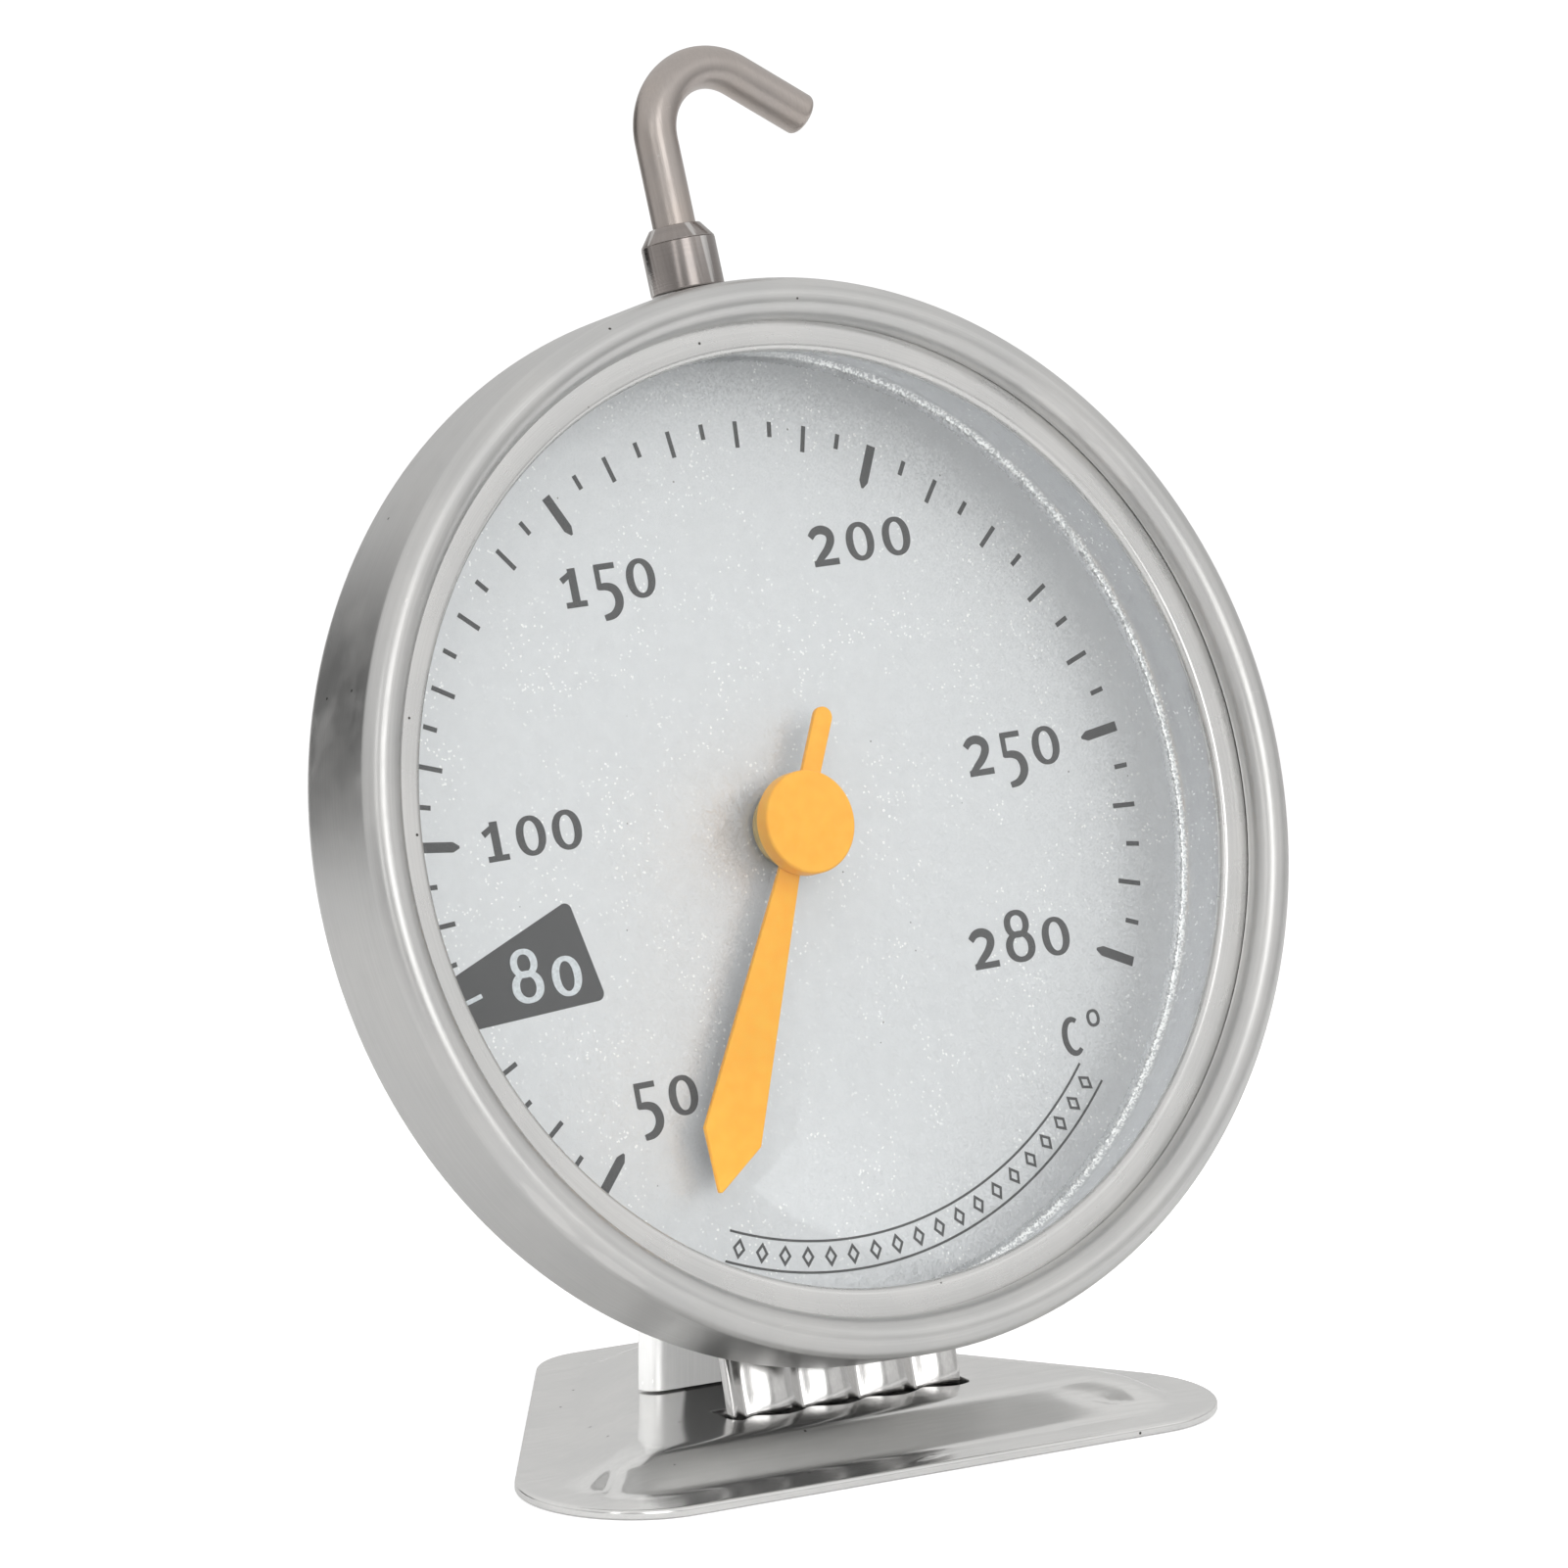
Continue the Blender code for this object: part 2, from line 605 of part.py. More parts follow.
def make_base_plate(material, slot_cutter, rivet_cutter):
    """Pressed plate: flat flange, sloped sides and a raised platform. Levels are (inset, height)."""
    edge = 0.00012
    top = STAND_SHEET
    under = PLATFORM_HEIGHT - STAND_SHEET
    shoulder_drop = 0.00015
    toe_rise = 0.0001
    underside = [(PLATFORM_INSET + 0.0002, under), (PLATFORM_INSET - 0.0005, under - shoulder_drop),
                 (FLANGE_WIDTH + 0.0007, toe_rise), (FLANGE_WIDTH + 0.0003, 0)]
    rim = [(edge, 0), (0, edge), (0, top - edge), (edge, top)]
    upper_side = [(FLANGE_WIDTH, top), (FLANGE_WIDTH + 0.0004, top + toe_rise),
                  (PLATFORM_INSET - 0.0007, PLATFORM_HEIGHT - shoulder_drop),
                  (PLATFORM_INSET, PLATFORM_HEIGHT)]
    bm = bmesh.new()
    rings = []
    for inset, z in underside + rim + upper_side:
        rings.append([bm.verts.new((x, y, z)) for x, y in foot_outline(inset)])
    skin_rings(bm, rings)
    plate = finish_mesh("base_plate", bm, material)
    cut(plate, slot_cutter, rivet_cutter)
    return plate


def make_slot_cutter():
    """Slot for the fluted leg, with a front edge that waves like the flutes."""
    middle_y, middle_z = case_point(0, LEG_DEPTH)
    y = middle_y + (PLATFORM_HEIGHT - middle_z) * math.tan(CASE_LEAN)
    reach = STAND_SHEET / 2 + SLOT_CLEARANCE
    left = LEG_X - LEG_HALF_WIDTH - SLOT_CLEARANCE
    right = LEG_X + LEG_HALF_WIDTH + SLOT_CLEARANCE
    outline = [(right, y + reach), (left, y + reach), (left, y - reach)]
    outline += [(x, y - reach - bulge) for x, bulge in flute_line()]
    outline.append((right, y - reach))
    bm = bmesh.new()
    add_prism(bm, outline, 0, 2 * PLATFORM_HEIGHT, lambda a, b, level: (a, b, level))
    return finish_mesh("slot_cutter", bm, None)


def make_front_leg(material, rivet_cutter):
    """Fluted strip that leans with the case, passes the slot and is folded back under the plate."""
    foot_z = PLATFORM_HEIGHT - STAND_SHEET - GAP - STAND_SHEET / 2
    low_height = (foot_z - case_point(0, LEG_DEPTH)[1]) / math.cos(CASE_LEAN)
    low = case_point(low_height, LEG_DEPTH)
    top = case_point(LEG_TOP, LEG_DEPTH)
    bend = fillet([(low[0] + LEG_FOLD, foot_z), low, top], STAND_SHEET * 1.2, 5)[:-1]
    flute_end = foot_z + 2 * STAND_SHEET
    rows = [(y, z, 1, ramp(z, foot_z, flute_end)) for y, z in bend]
    lowest = low_height + 2 * STAND_SHEET
    corner = LEG_TOP - 0.0010
    heights = [lowest + (corner - lowest) * index / LEG_ROWS for index in range(1, LEG_ROWS + 1)]
    heights += [(corner + LEG_TOP) / 2, LEG_TOP - 0.0001, LEG_TOP]
    for height in heights:
        width = 1 - 0.2 * ramp(height, corner, LEG_TOP) ** 3
        rows.append((*case_point(height, LEG_DEPTH), width, ramp(height, FLUTES_GONE, FLUTES_FULL)))
    leg = formed_strip("front_leg", rows, flute_line(), STAND_SHEET, material)
    cut(leg, rivet_cutter)
    return leg


def make_rear_strut(material, stand_rivet_cutter, foot_rivet_cutter):
    """Upright with rolled side edges, riveted to the plate below and to the leg above."""
    foot_z = PLATFORM_HEIGHT + GAP + STAND_SHEET / 2
    flange_depth = LEG_DEPTH - STAND_SHEET - GAP
    bend_radius = 1.5 * STAND_SHEET
    flange = case_point(STRUT_FLANGE_LOW, flange_depth)
    path = fillet([(STRUT_FOOT_END, foot_z), (STRUT_Y, foot_z), (STRUT_Y, STRUT_BEND_Z), flange,
                   case_point(STRUT_FLANGE_HIGH, flange_depth)], bend_radius, 4)
    flat = 0.0001
    rows = []
    for y, z in path:
        rolled = ramp(z, foot_z + bend_radius - flat, foot_z + bend_radius)
        rolled *= ramp(z, flange[1] - bend_radius + 3 * flat, flange[1] - bend_radius)
        if z < foot_z + flat:
            width = STRUT_FOOT_WIDTH + (1 - STRUT_FOOT_WIDTH) * ramp(y, STRUT_FOOT_END,
                                                                     STRUT_FOOT_END - STRUT_FOOT_TAPER)
        else:
            width = STRUT_FLANGE_WIDTH + (1 - STRUT_FLANGE_WIDTH) * rolled
        rows.append((y, z, width, rolled))
    edge = arc((STRUT_HALF_WIDTH, -STRUT_EDGE_RADIUS), STRUT_EDGE_RADIUS, 90, 0, 5)
    section = [(-x, rise) for x, rise in edge[::-1]] + edge
    strut = formed_strip("rear_strut", rows, section, STAND_SHEET, material)
    cut(strut, stand_rivet_cutter, foot_rivet_cutter)
    return strut


# Shares of the head's radius and height.
TAIL_PROFILE = ((0.75, 1.0), (0.9, 0.6), (0.9, 0.0))
DOME_PROFILE = ((1.0, 0.0), (0.92, 0.5), (0.65, 0.9))


def rivet_outline(low, high):
    """Rivet through a stack: a domed head above, a flat peened tail below."""
    head = 0.0005
    tail_low = low - GAP
    head_low = high + GAP
    outline = [(0, tail_low - head)]
    for share, drop in TAIL_PROFILE:
        outline.append((RIVET_HEAD_RADIUS * share, tail_low - head * drop))
    outline += [(RIVET_RADIUS, tail_low), (RIVET_RADIUS, head_low)]
    for share, rise in DOME_PROFILE:
        outline.append((RIVET_HEAD_RADIUS * share, head_low + head * rise))
    outline.append((0, head_low + head))
    return outline


def make_rivet_cutter(name, places, low, high, **placing):
    bm = bmesh.new()
    radius = RIVET_RADIUS + RUNNING_GAP
    for x, z in places:
        add_prism(bm, circle((x, z), radius), low, high,
                  lambda a, b, depth: (a, -depth, b))
    return finish_mesh(name, bm, None, **placing)


# ---- assembly -----------------------------------------------------------------------------
def build():
    clear_scene()
    steel = {name: make_material(name) for name in MATERIALS}
    head = make_empty("head_frame", (0, AXIS_Y, AXIS_Z), (-CASE_LEAN, 0, 0))
    spindle = make_empty("spindle_frame", (0, 0, 0), (0, POINTER_ANGLE, 0), head)
    swivel = make_empty("swivel_frame", (0, -HOOK_DEPTH, 0), (0, HOOK_TURN, 0), head)

    bezel = make_bezel_ring(steel["brushed_steel"], head)
    cup = make_rear_cup(steel["brushed_steel"], head)
    make_lens_ring(steel["ring_steel"], head)
    make_lens(steel["glass"], head)
    make_dial_plate(steel["dial_paint"], head)

    make_front_bush(steel["bush_brass"], head)
    make_rear_bush(steel["bush_brass"], head)
    make_arbor(steel["rivet_steel"], spindle)
    make_pointer_blade(steel["amber_paint"], spindle)
    make_pointer_cap(steel["amber_paint"], spindle)
    make_coil_collet(steel["bush_brass"], spindle)
    make_bimetal_coil(steel["bimetal"], head)
    make_coil_post(steel["rivet_steel"], head)

    make_hook_wire(steel["wire_steel"], swivel)
    make_hook_ferrule(steel["wire_steel"], swivel)
    make_hook_washer(steel["rivet_steel"], swivel)
    stem_hole = cylinder("stem_hole_cutter", STEM_RADIUS + RUNNING_GAP, CASE_RADIUS - 0.0030,
                         CASE_RADIUS + 0.0010, parent=swivel, rotation=UPRIGHT)
    cut(bezel, stem_hole)

    vents = []
    for angle in VENT_ANGLES:
        turn = math.radians(angle)
        vents.append((VENT_CIRCLE * math.sin(turn), VENT_CIRCLE * math.cos(turn)))
    bm = bmesh.new()
    for x, z in vents:
        add_prism(bm, circle((x, z), VENT_RADIUS), BOSS_DEPTH - 0.001,
                  BOSS_DEPTH + 0.001, lambda a, b, depth: (a, -depth, b))
    vent_cutter = finish_mesh("vent_cutter", bm, None, parent=head)

    rivet_places = [(-STAND_RIVET_X, STAND_RIVET_V), (STAND_RIVET_X, STAND_RIVET_V)]
    stand_cutter = make_rivet_cutter("stand_rivet_cutter", rivet_places, -0.0075, -0.0025, parent=head)
    foot_places = [(-FOOT_RIVET_X, FOOT_RIVET_Y), (FOOT_RIVET_X, FOOT_RIVET_Y)]
    foot_cutter = make_rivet_cutter("foot_rivet_cutter", foot_places, 0, 0.0060, rotation=UPRIGHT)
    cut(cup, stem_hole, vent_cutter, stand_cutter)

    make_base_plate(steel["polished_steel"], make_slot_cutter(), foot_cutter)
    make_front_leg(steel["polished_steel"], stand_cutter)
    make_rear_strut(steel["polished_steel"], stand_cutter, foot_cutter)

    stack_rear = LEG_DEPTH - STAND_SHEET * 1.5 - GAP
    stack_front = BOSS_DEPTH + SHEET
    foot_low = PLATFORM_HEIGHT - STAND_SHEET
    foot_high = PLATFORM_HEIGHT + GAP + STAND_SHEET
    for side, word in ((-1, "left"), (1, "right")):
        turned("stand_rivet_" + word, rivet_outline(-stack_front, -stack_rear), steel["rivet_steel"],
               parent=head, location=(side * STAND_RIVET_X, 0, STAND_RIVET_V),
               rotation=(0, 0, math.pi))
        turned("foot_rivet_" + word, rivet_outline(foot_low, foot_high), steel["rivet_steel"],
               location=(side * FOOT_RIVET_X, FOOT_RIVET_Y, 0), rotation=UPRIGHT)


build()
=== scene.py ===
"""Looks of the oven thermometer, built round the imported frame."""
import json
import math

import bmesh
import bpy
from mathutils import Matrix, Vector


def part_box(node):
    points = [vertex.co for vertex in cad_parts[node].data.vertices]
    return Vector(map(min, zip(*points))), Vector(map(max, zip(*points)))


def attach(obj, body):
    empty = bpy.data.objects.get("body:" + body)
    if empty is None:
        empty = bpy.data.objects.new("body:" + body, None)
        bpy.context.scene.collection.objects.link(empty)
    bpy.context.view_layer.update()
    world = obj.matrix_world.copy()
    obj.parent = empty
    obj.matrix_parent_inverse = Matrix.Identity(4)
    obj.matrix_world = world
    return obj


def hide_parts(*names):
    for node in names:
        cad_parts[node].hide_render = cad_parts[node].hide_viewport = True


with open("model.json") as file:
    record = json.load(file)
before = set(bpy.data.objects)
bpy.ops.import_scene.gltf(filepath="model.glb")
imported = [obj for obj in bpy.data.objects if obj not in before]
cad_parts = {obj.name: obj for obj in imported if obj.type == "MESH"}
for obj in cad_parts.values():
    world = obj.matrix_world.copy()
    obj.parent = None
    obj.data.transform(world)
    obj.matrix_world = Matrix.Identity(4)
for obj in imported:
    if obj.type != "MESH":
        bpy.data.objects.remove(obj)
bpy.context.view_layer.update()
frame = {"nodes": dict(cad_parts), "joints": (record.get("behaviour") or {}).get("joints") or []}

MM = 0.001

# ---- the frame's own places ----
# Head frame: origin in the middle of the dial face, local X to the right, Y to the back, Z up the dial.
JOINTS = {joint["name"]: joint for joint in frame["joints"]}
CENTRE = Vector(JOINTS["pointer_turn"]["pos_m"])
BACK = Vector(JOINTS["pointer_turn"]["axis"]).normalized()
UP = Vector((0, -BACK.z, BACK.y))
LEAN = math.atan2(UP.y, UP.z)


def axes_matrix(origin, x_axis, y_axis, z_axis):
    turn = Matrix((x_axis, y_axis, z_axis)).transposed().to_4x4()
    return Matrix.Translation(origin) @ turn


HEAD = axes_matrix(CENTRE, Vector((1, 0, 0)), BACK, UP)
SWIVEL_UP = Vector(JOINTS["hook_swivel"]["axis"]).normalized()
SWIVEL = axes_matrix(Vector(JOINTS["hook_swivel"]["pos_m"]), BACK.cross(SWIVEL_UP), BACK, SWIVEL_UP)
FLOOR_FRAME = Matrix.Identity(4)
UPRIGHT = Matrix.Rotation(-math.pi / 2, 4, "X")     # turns a local Y axis, and what is spun on it, to Z


def span(node, matrix):
    """Lowest and highest corner of a node in one of the frames above."""
    inverse = matrix.inverted()
    points = [inverse @ vertex.co for vertex in frame["nodes"][node].data.vertices]
    low = Vector([min(point[axis] for point in points) for axis in range(3)])
    high = Vector([max(point[axis] for point in points) for axis in range(3)])
    return low, high


def pointer_direction():
    """Angle of the pointer's tip at rest, clockwise from the dial's top."""
    inverse = HEAD.inverted()
    points = [inverse @ vertex.co for vertex in frame["nodes"]["pointer_blade"].data.vertices]
    tip = max(points, key=lambda point: math.hypot(point.x, point.z))
    return math.atan2(tip.x, tip.z)


SPINDLE = HEAD @ Matrix.Rotation(pointer_direction(), 4, "Y")


# ---- sizes taken from the frame ----
def depths(node, matrix=HEAD):
    """Front and rear of a node, as depths in front of the dial face."""
    low, high = span(node, matrix)
    return -low.y, -high.y


RIM_FRONT, CASE_REAR = depths("bezel_ring")
RING_FRONT, RING_REAR = depths("lens_ring")
LENS_FRONT, LENS_REAR = depths("lens")
CUP_RIM, CUP_REAR = depths("rear_cup")
DIAL_RIM = depths("dial_plate")[0]
BLADE_FRONT, BLADE_REAR = depths("pointer_blade")
ARBOR_FRONT, ARBOR_REAR = depths("pointer_arbor")
HUB_FRONT = depths("pointer_cap")[0]
CASE_RADIUS = span("bezel_ring", HEAD)[1].x
LENS_RADIUS = span("lens", HEAD)[1].x
DIAL_EDGE = span("dial_plate", HEAD)[1].x
CUP_EDGE = span("rear_cup", HEAD)[1].x
BLADE_LOW, BLADE_HIGH = span("pointer_blade", SPINDLE)
HUB_RADIUS = span("pointer_cap", SPINDLE)[1].x
ARBOR_RADIUS = span("pointer_arbor", SPINDLE)[1].x
WIRE_RADIUS = span("hook_wire", SWIVEL)[1].y
HOOK_LOW = span("hook_wire", SWIVEL)[0].z
FERRULE_LOW, FERRULE_HIGH = span("hook_ferrule", SWIVEL)
FOOT_LOW, FOOT_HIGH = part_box("base_plate")
LEG_LOW, LEG_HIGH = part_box("front_leg")
STRUT_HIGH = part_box("rear_strut")[1]

SHEET = 0.4 * MM
STAND_SHEET = 0.6 * MM
ROLL_RADIUS = 1.2 * MM
OPENING_RADIUS = 26.9 * MM
ROUND = 224                     # segments round the case
SMALL_ROUND = 64                # segments round small turned pieces
SHARP_ANGLE = math.radians(34)


# ---- meshes ----
def shade(mesh):
    mesh.shade_smooth()
    mesh.set_sharp_from_angle(angle=SHARP_ANGLE)


def link(name, data):
    made = bpy.data.objects.new(name, data)
    bpy.context.scene.collection.objects.link(made)
    return made


def finish_mesh(name, bm, look=None, matrix=FLOOR_FRAME, body="stand_and_case", node=None):
    """A named, smooth-shaded mesh; with a look, it is a piece that rides on a body and replaces a node."""
    bmesh.ops.remove_doubles(bm, verts=bm.verts, dist=1e-7)
    bmesh.ops.recalc_face_normals(bm, faces=bm.faces)
    if bm.calc_volume(signed=True) < 0:
        bmesh.ops.reverse_faces(bm, faces=bm.faces)
    mesh = bpy.data.meshes.new(name)
    bm.to_mesh(mesh)
    bm.free()
    shade(mesh)
    piece = link(name, mesh)
    piece.matrix_world = matrix
    if look:
        material, slot = LOOKS[look]
        mesh.materials.append(material)
        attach(piece, body)
    if node:
        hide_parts(node)
    return piece


def combine(piece, tool, operation="DIFFERENCE", use_self=False):
    """Cuts the tool out of a piece, or joins it on."""
    modifier = piece.modifiers.new("combine", "BOOLEAN")
    modifier.operation = operation
    modifier.solver = "EXACT"
    modifier.use_self = use_self
    modifier.object = tool


def soften(piece, width, segments, angle):
    """Rounds the edges that are sharper than the angle."""
    modifier = piece.modifiers.new("soften", "BEVEL")
    modifier.width = width
    modifier.segments = segments
    modifier.limit_method = "ANGLE"
    modifier.angle_limit = math.radians(angle)


def apply_modifiers(piece):
    """Bakes a piece's modifiers into its mesh and removes the tools they used."""
    tools = [modifier.object for modifier in piece.modifiers if modifier.type == "BOOLEAN"]
    bpy.context.view_layer.update()
    evaluated = piece.evaluated_get(bpy.context.evaluated_depsgraph_get())
    piece_mesh = bpy.data.meshes.new_from_object(evaluated)
    piece.modifiers.clear()
    piece.data = piece_mesh
    shade(piece_mesh)
    for tool in tools:
        bpy.data.objects.remove(tool, do_unlink=True)


def arc(centre, radius, start, end, steps):
    """Points on an arc, angles in degrees from the first axis towards the second."""
    points = []
    for step in range(steps + 1):
        angle = math.radians(start + (end - start) * step / steps)
        points.append((centre[0] + radius * math.cos(angle), centre[1] + radius * math.sin(angle)))
    return points


def polar(angle, radius):
    """A point at an angle clockwise from the second axis."""
    return radius * math.sin(angle), radius * math.cos(angle)


def fillet(points, radius, steps=8):
    """Rounds every inner corner of an open 2D path; radius is one value or one for each corner."""
    radii = radius if isinstance(radius, (list, tuple)) else [radius] * (len(points) - 2)
    rounded = [tuple(points[0])]
    for before, corner, after, size in zip(points, points[1:], points[2:], radii):
        corner = Vector(corner)
        towards_before = (Vector(before) - corner).normalized()
        towards_after = (Vector(after) - corner).normalized()
        half_angle = towards_before.angle(towards_after) / 2
        centre = corner + (towards_before + towards_after).normalized() * size / math.sin(half_angle)
        start = corner + towards_before * size / math.tan(half_angle) - centre
        side = 1 if towards_before.cross(towards_after) < 0 else -1
        for step in range(steps + 1):
            swing = Matrix.Rotation(side * (math.pi - 2 * half_angle) * step / steps, 2)
            rounded.append(tuple(centre + swing @ start))
    rounded.append(tuple(points[-1]))
    return rounded


def offset_path(points, distance):
    """Shifts an open 2D path sideways, to its left for a positive distance."""
    shifted = []
    for index, point in enumerate(points):
        here = Vector(point)
        before = here - Vector(points[index - 1]) if index else None
        after = Vector(points[index + 1]) - here if index + 1 < len(points) else None
        before = (before or after).normalized()
        after = (after or before).normalized()
        mitre = (before + after).normalized()
        stretch = distance / max(mitre.dot(after), 0.3)
        shifted.append(tuple(here + Vector((-mitre.y, mitre.x)) * stretch))
    return shifted


def sheet_outline(path, thickness, rounding=3, trim=1):
    """Closed outline of a sheet whose middle follows the path, with softened cut edges.

    trim: how many points the softened edges replace at each end of a side.
    """
    half = thickness / 2
    left = offset_path(path, half)
    right = offset_path(path, -half)[::-1]
    outline = []
    for side, tip in ((left, path[-1]), (right, path[0])):
        outline += side[trim:-trim]
        corner = Vector(side[-1])
        out = (corner - Vector(side[-2])).normalized() * half / 2
        inward = Vector(tip) - corner
        opposite = corner + 2 * inward
        quarter = [math.pi / 2 * step / rounding for step in range(rounding + 1)]
        outline += [tuple(corner + out * (math.sin(turn) - 1) + inward * (1 - math.cos(turn)) / 2)
                    for turn in quarter]
        outline += [tuple(opposite + out * (math.sin(turn) - 1) - inward * (1 - math.cos(turn)) / 2)
                    for turn in reversed(quarter)]
    return outline


def smoothstep(value, start, end):
    share = min(max((value - start) / (end - start), 0), 1)
    return share * share * (3 - 2 * share)


def skin_rings(bm, rings, capped=True):
    """Joins closed rings of vertices, one after the other, and closes both ends."""
    for ring, following in zip(rings, rings[1:]):
        for index in range(len(ring)):
            after = (index + 1) % len(ring)
            bm.faces.new((ring[index], ring[after], following[after], following[index]))
    if capped:
        bm.faces.new(rings[0][::-1])
        bm.faces.new(rings[-1])


def turned(name, outline, look=None, matrix=HEAD, segments=SMALL_ROUND, **riding):
    """Spins a closed (radius, depth) outline round the local Y axis; depth points to -Y."""
    bm = bmesh.new()
    verts = [bm.verts.new((radius, -depth, 0)) for radius, depth in outline]
    pairs = list(zip(verts, verts[1:]))
    if outline[0][0] > 0 or outline[-1][0] > 0:
        pairs.append((verts[-1], verts[0]))
    edges = [bm.edges.new(pair) for pair in pairs]
    bmesh.ops.spin(bm, geom=verts + edges, cent=(0, 0, 0), axis=(0, 1, 0), angle=2 * math.pi,
                   steps=segments, use_merge=True, use_duplicate=False)
    return finish_mesh(name, bm, look, matrix, **riding)


def pressed(name, path, look, node):
    """A sheet piece of the case: the sheet whose middle follows a (radius, depth) path, spun."""
    return turned(name, sheet_outline(path, SHEET), look, segments=ROUND, node=node)


def chamfered(inner, outer, rear, front, edge):
    """(radius, depth) outline of a turned ring or pin whose outer edges are broken."""
    return [(inner, rear), (outer - edge, rear), (outer, rear + edge), (outer, front - edge),
            (outer - edge, front), (inner, front)]


def add_rings(bm, outlines_and_depths):
    """Rings of vertices, one for each closed (x, z) outline and its depth."""
    return [[bm.verts.new((x, -depth, z)) for x, z in outline] for outline, depth in outlines_and_depths]


def add_prism(bm, outline, low, high):
    """Adds the solid between two depths over a closed (x, z) outline."""
    rear, front = add_rings(bm, ((outline, low), (outline, high)))
    bm.faces.new(rear)
    bm.faces.new(front[::-1])
    skin_rings(bm, [rear, front], capped=False)


def add_hoop(bm, outer, inner, low, high):
    """Adds the solid between two depths and two closed (x, z) outlines with equal counts."""
    rings = add_rings(bm, ((outer, low), (outer, high), (inner, high), (inner, low)))
    skin_rings(bm, rings + rings[:1], capped=False)


# ---- node materials ----
class Nodes:
    """The node tree of a material or a world, with short calls for the nodes used here."""

    def __init__(self, owner, output="OutputMaterial", coordinates="Object"):
        owner.use_nodes = True
        self.owner = owner
        self.tree = owner.node_tree
        self.tree.nodes.clear()
        self.output = self.node(output)
        self.place = self.node("TexCoord").outputs[coordinates]
        self.x, self.y, self.z = self.node("SeparateXYZ", {0: self.place}).outputs

    def node(self, kind, inputs=None, **settings):
        made = self.tree.nodes.new("ShaderNode" + kind)
        for key, value in settings.items():
            setattr(made, key, value)
        for key, value in (inputs or {}).items():
            if isinstance(value, bpy.types.NodeSocket):
                self.tree.links.new(value, made.inputs[key])
            else:
                made.inputs[key].default_value = value
        return made

    def math(self, operation, *values):
        return self.node("Math", dict(enumerate(values)), operation=operation).outputs[0]

    def times(self, first, second):
        return self.math("MULTIPLY", first, second)

    def vector(self, *parts):
        return self.node("CombineXYZ", dict(enumerate(parts))).outputs[0]

    def vector_math(self, operation, inputs):
        return self.node("VectorMath", inputs, operation=operation).outputs[0]

    def noise(self, vector, scale, detail=3.0, roughness=0.55):
        inputs = {"Vector": vector, "Scale": scale, "Detail": detail, "Roughness": roughness}
        return self.node("TexNoise", inputs).outputs["Fac"]

    def fit(self, value, low, high, to_low=0.0, to_high=1.0):
        inputs = {"Value": value, "From Min": low, "From Max": high, "To Min": to_low, "To Max": to_high}
        return self.node("MapRange", inputs, interpolation_type="SMOOTHSTEP").outputs[0]

    def window(self, value, low, high, soft):
        """1 between low and high, fading to 0 over the soft distance outside."""
        return self.times(self.fit(value, low - soft, low), self.fit(value, high, high + soft, 1.0, 0.0))

    def blend(self, factor, first, second):
        colours = [colour if isinstance(colour, bpy.types.NodeSocket) else (*colour, 1.0)
                   for colour in (first, second)]
        return self.node("Mix", {0: factor, 6: colours[0], 7: colours[1]}, data_type="RGBA").outputs[2]

    def bump(self, height, strength, distance, **normal):
        inputs = {"Height": height, "Strength": strength, "Distance": distance, **normal}
        return self.node("Bump", inputs).outputs[0]

    def geometry(self, output):
        return self.node("NewGeometry").outputs[output]

    def colour_parts(self, colour):
        return self.node("SeparateColor", {0: colour}).outputs

    def cells(self, scale):
        return self.node("TexVoronoi", {"Vector": self.place, "Scale": scale}).outputs

    def radius(self):
        """Distance from the local Y axis."""
        return self.math("SQRT", self.math("ADD", self.times(self.x, self.x), self.times(self.z, self.z)))

    def stretched(self, x, y, z):
        """The place, scaled along each axis, for lines and streaks."""
        return self.vector(self.times(self.x, x), self.times(self.y, y), self.times(self.z, z))

    def turning_lines(self, density):
        """Place for the fine lines that a lathe leaves round the local Y axis."""
        lines = self.times(self.math("SUBTRACT", self.radius(), self.y), density)
        return self.vector(self.times(self.x, 90), lines, self.times(self.z, 90))

    def specks(self, scale, size, share):
        """1 in small scattered spots: share of the cells that hold one, size within a cell."""
        cells = self.cells(scale)
        spot = self.fit(cells["Distance"], size, size * 0.6)
        return self.times(spot, self.math("LESS_THAN", self.colour_parts(cells["Color"])[0], share))

    def mix(self, factor, first, second):
        return self.node("MixShader", {0: factor, 1: first.outputs[0], 2: second.outputs[0]})

    def finish(self, shader):
        self.tree.links.new(shader.outputs[0], self.output.inputs["Surface"])
        return self.owner

    def coat(self, colour, roughness, normal, **more):
        inputs = {"Base Color": colour, "Roughness": roughness, "Normal": normal}
        for name, value in more.items():
            inputs[name.replace("_", " ")] = value
        return self.finish(self.node("BsdfPrincipled", inputs))


def new_material(name):
    return Nodes(bpy.data.materials.new(name))


WORN_STEEL = (0.86, 0.85, 0.84)
SCRATCH_STEEL = (0.85, 0.84, 0.82)
SPECK_STEEL = (0.08, 0.075, 0.07)
SHADED = (0.01, 0.01, 0.01)


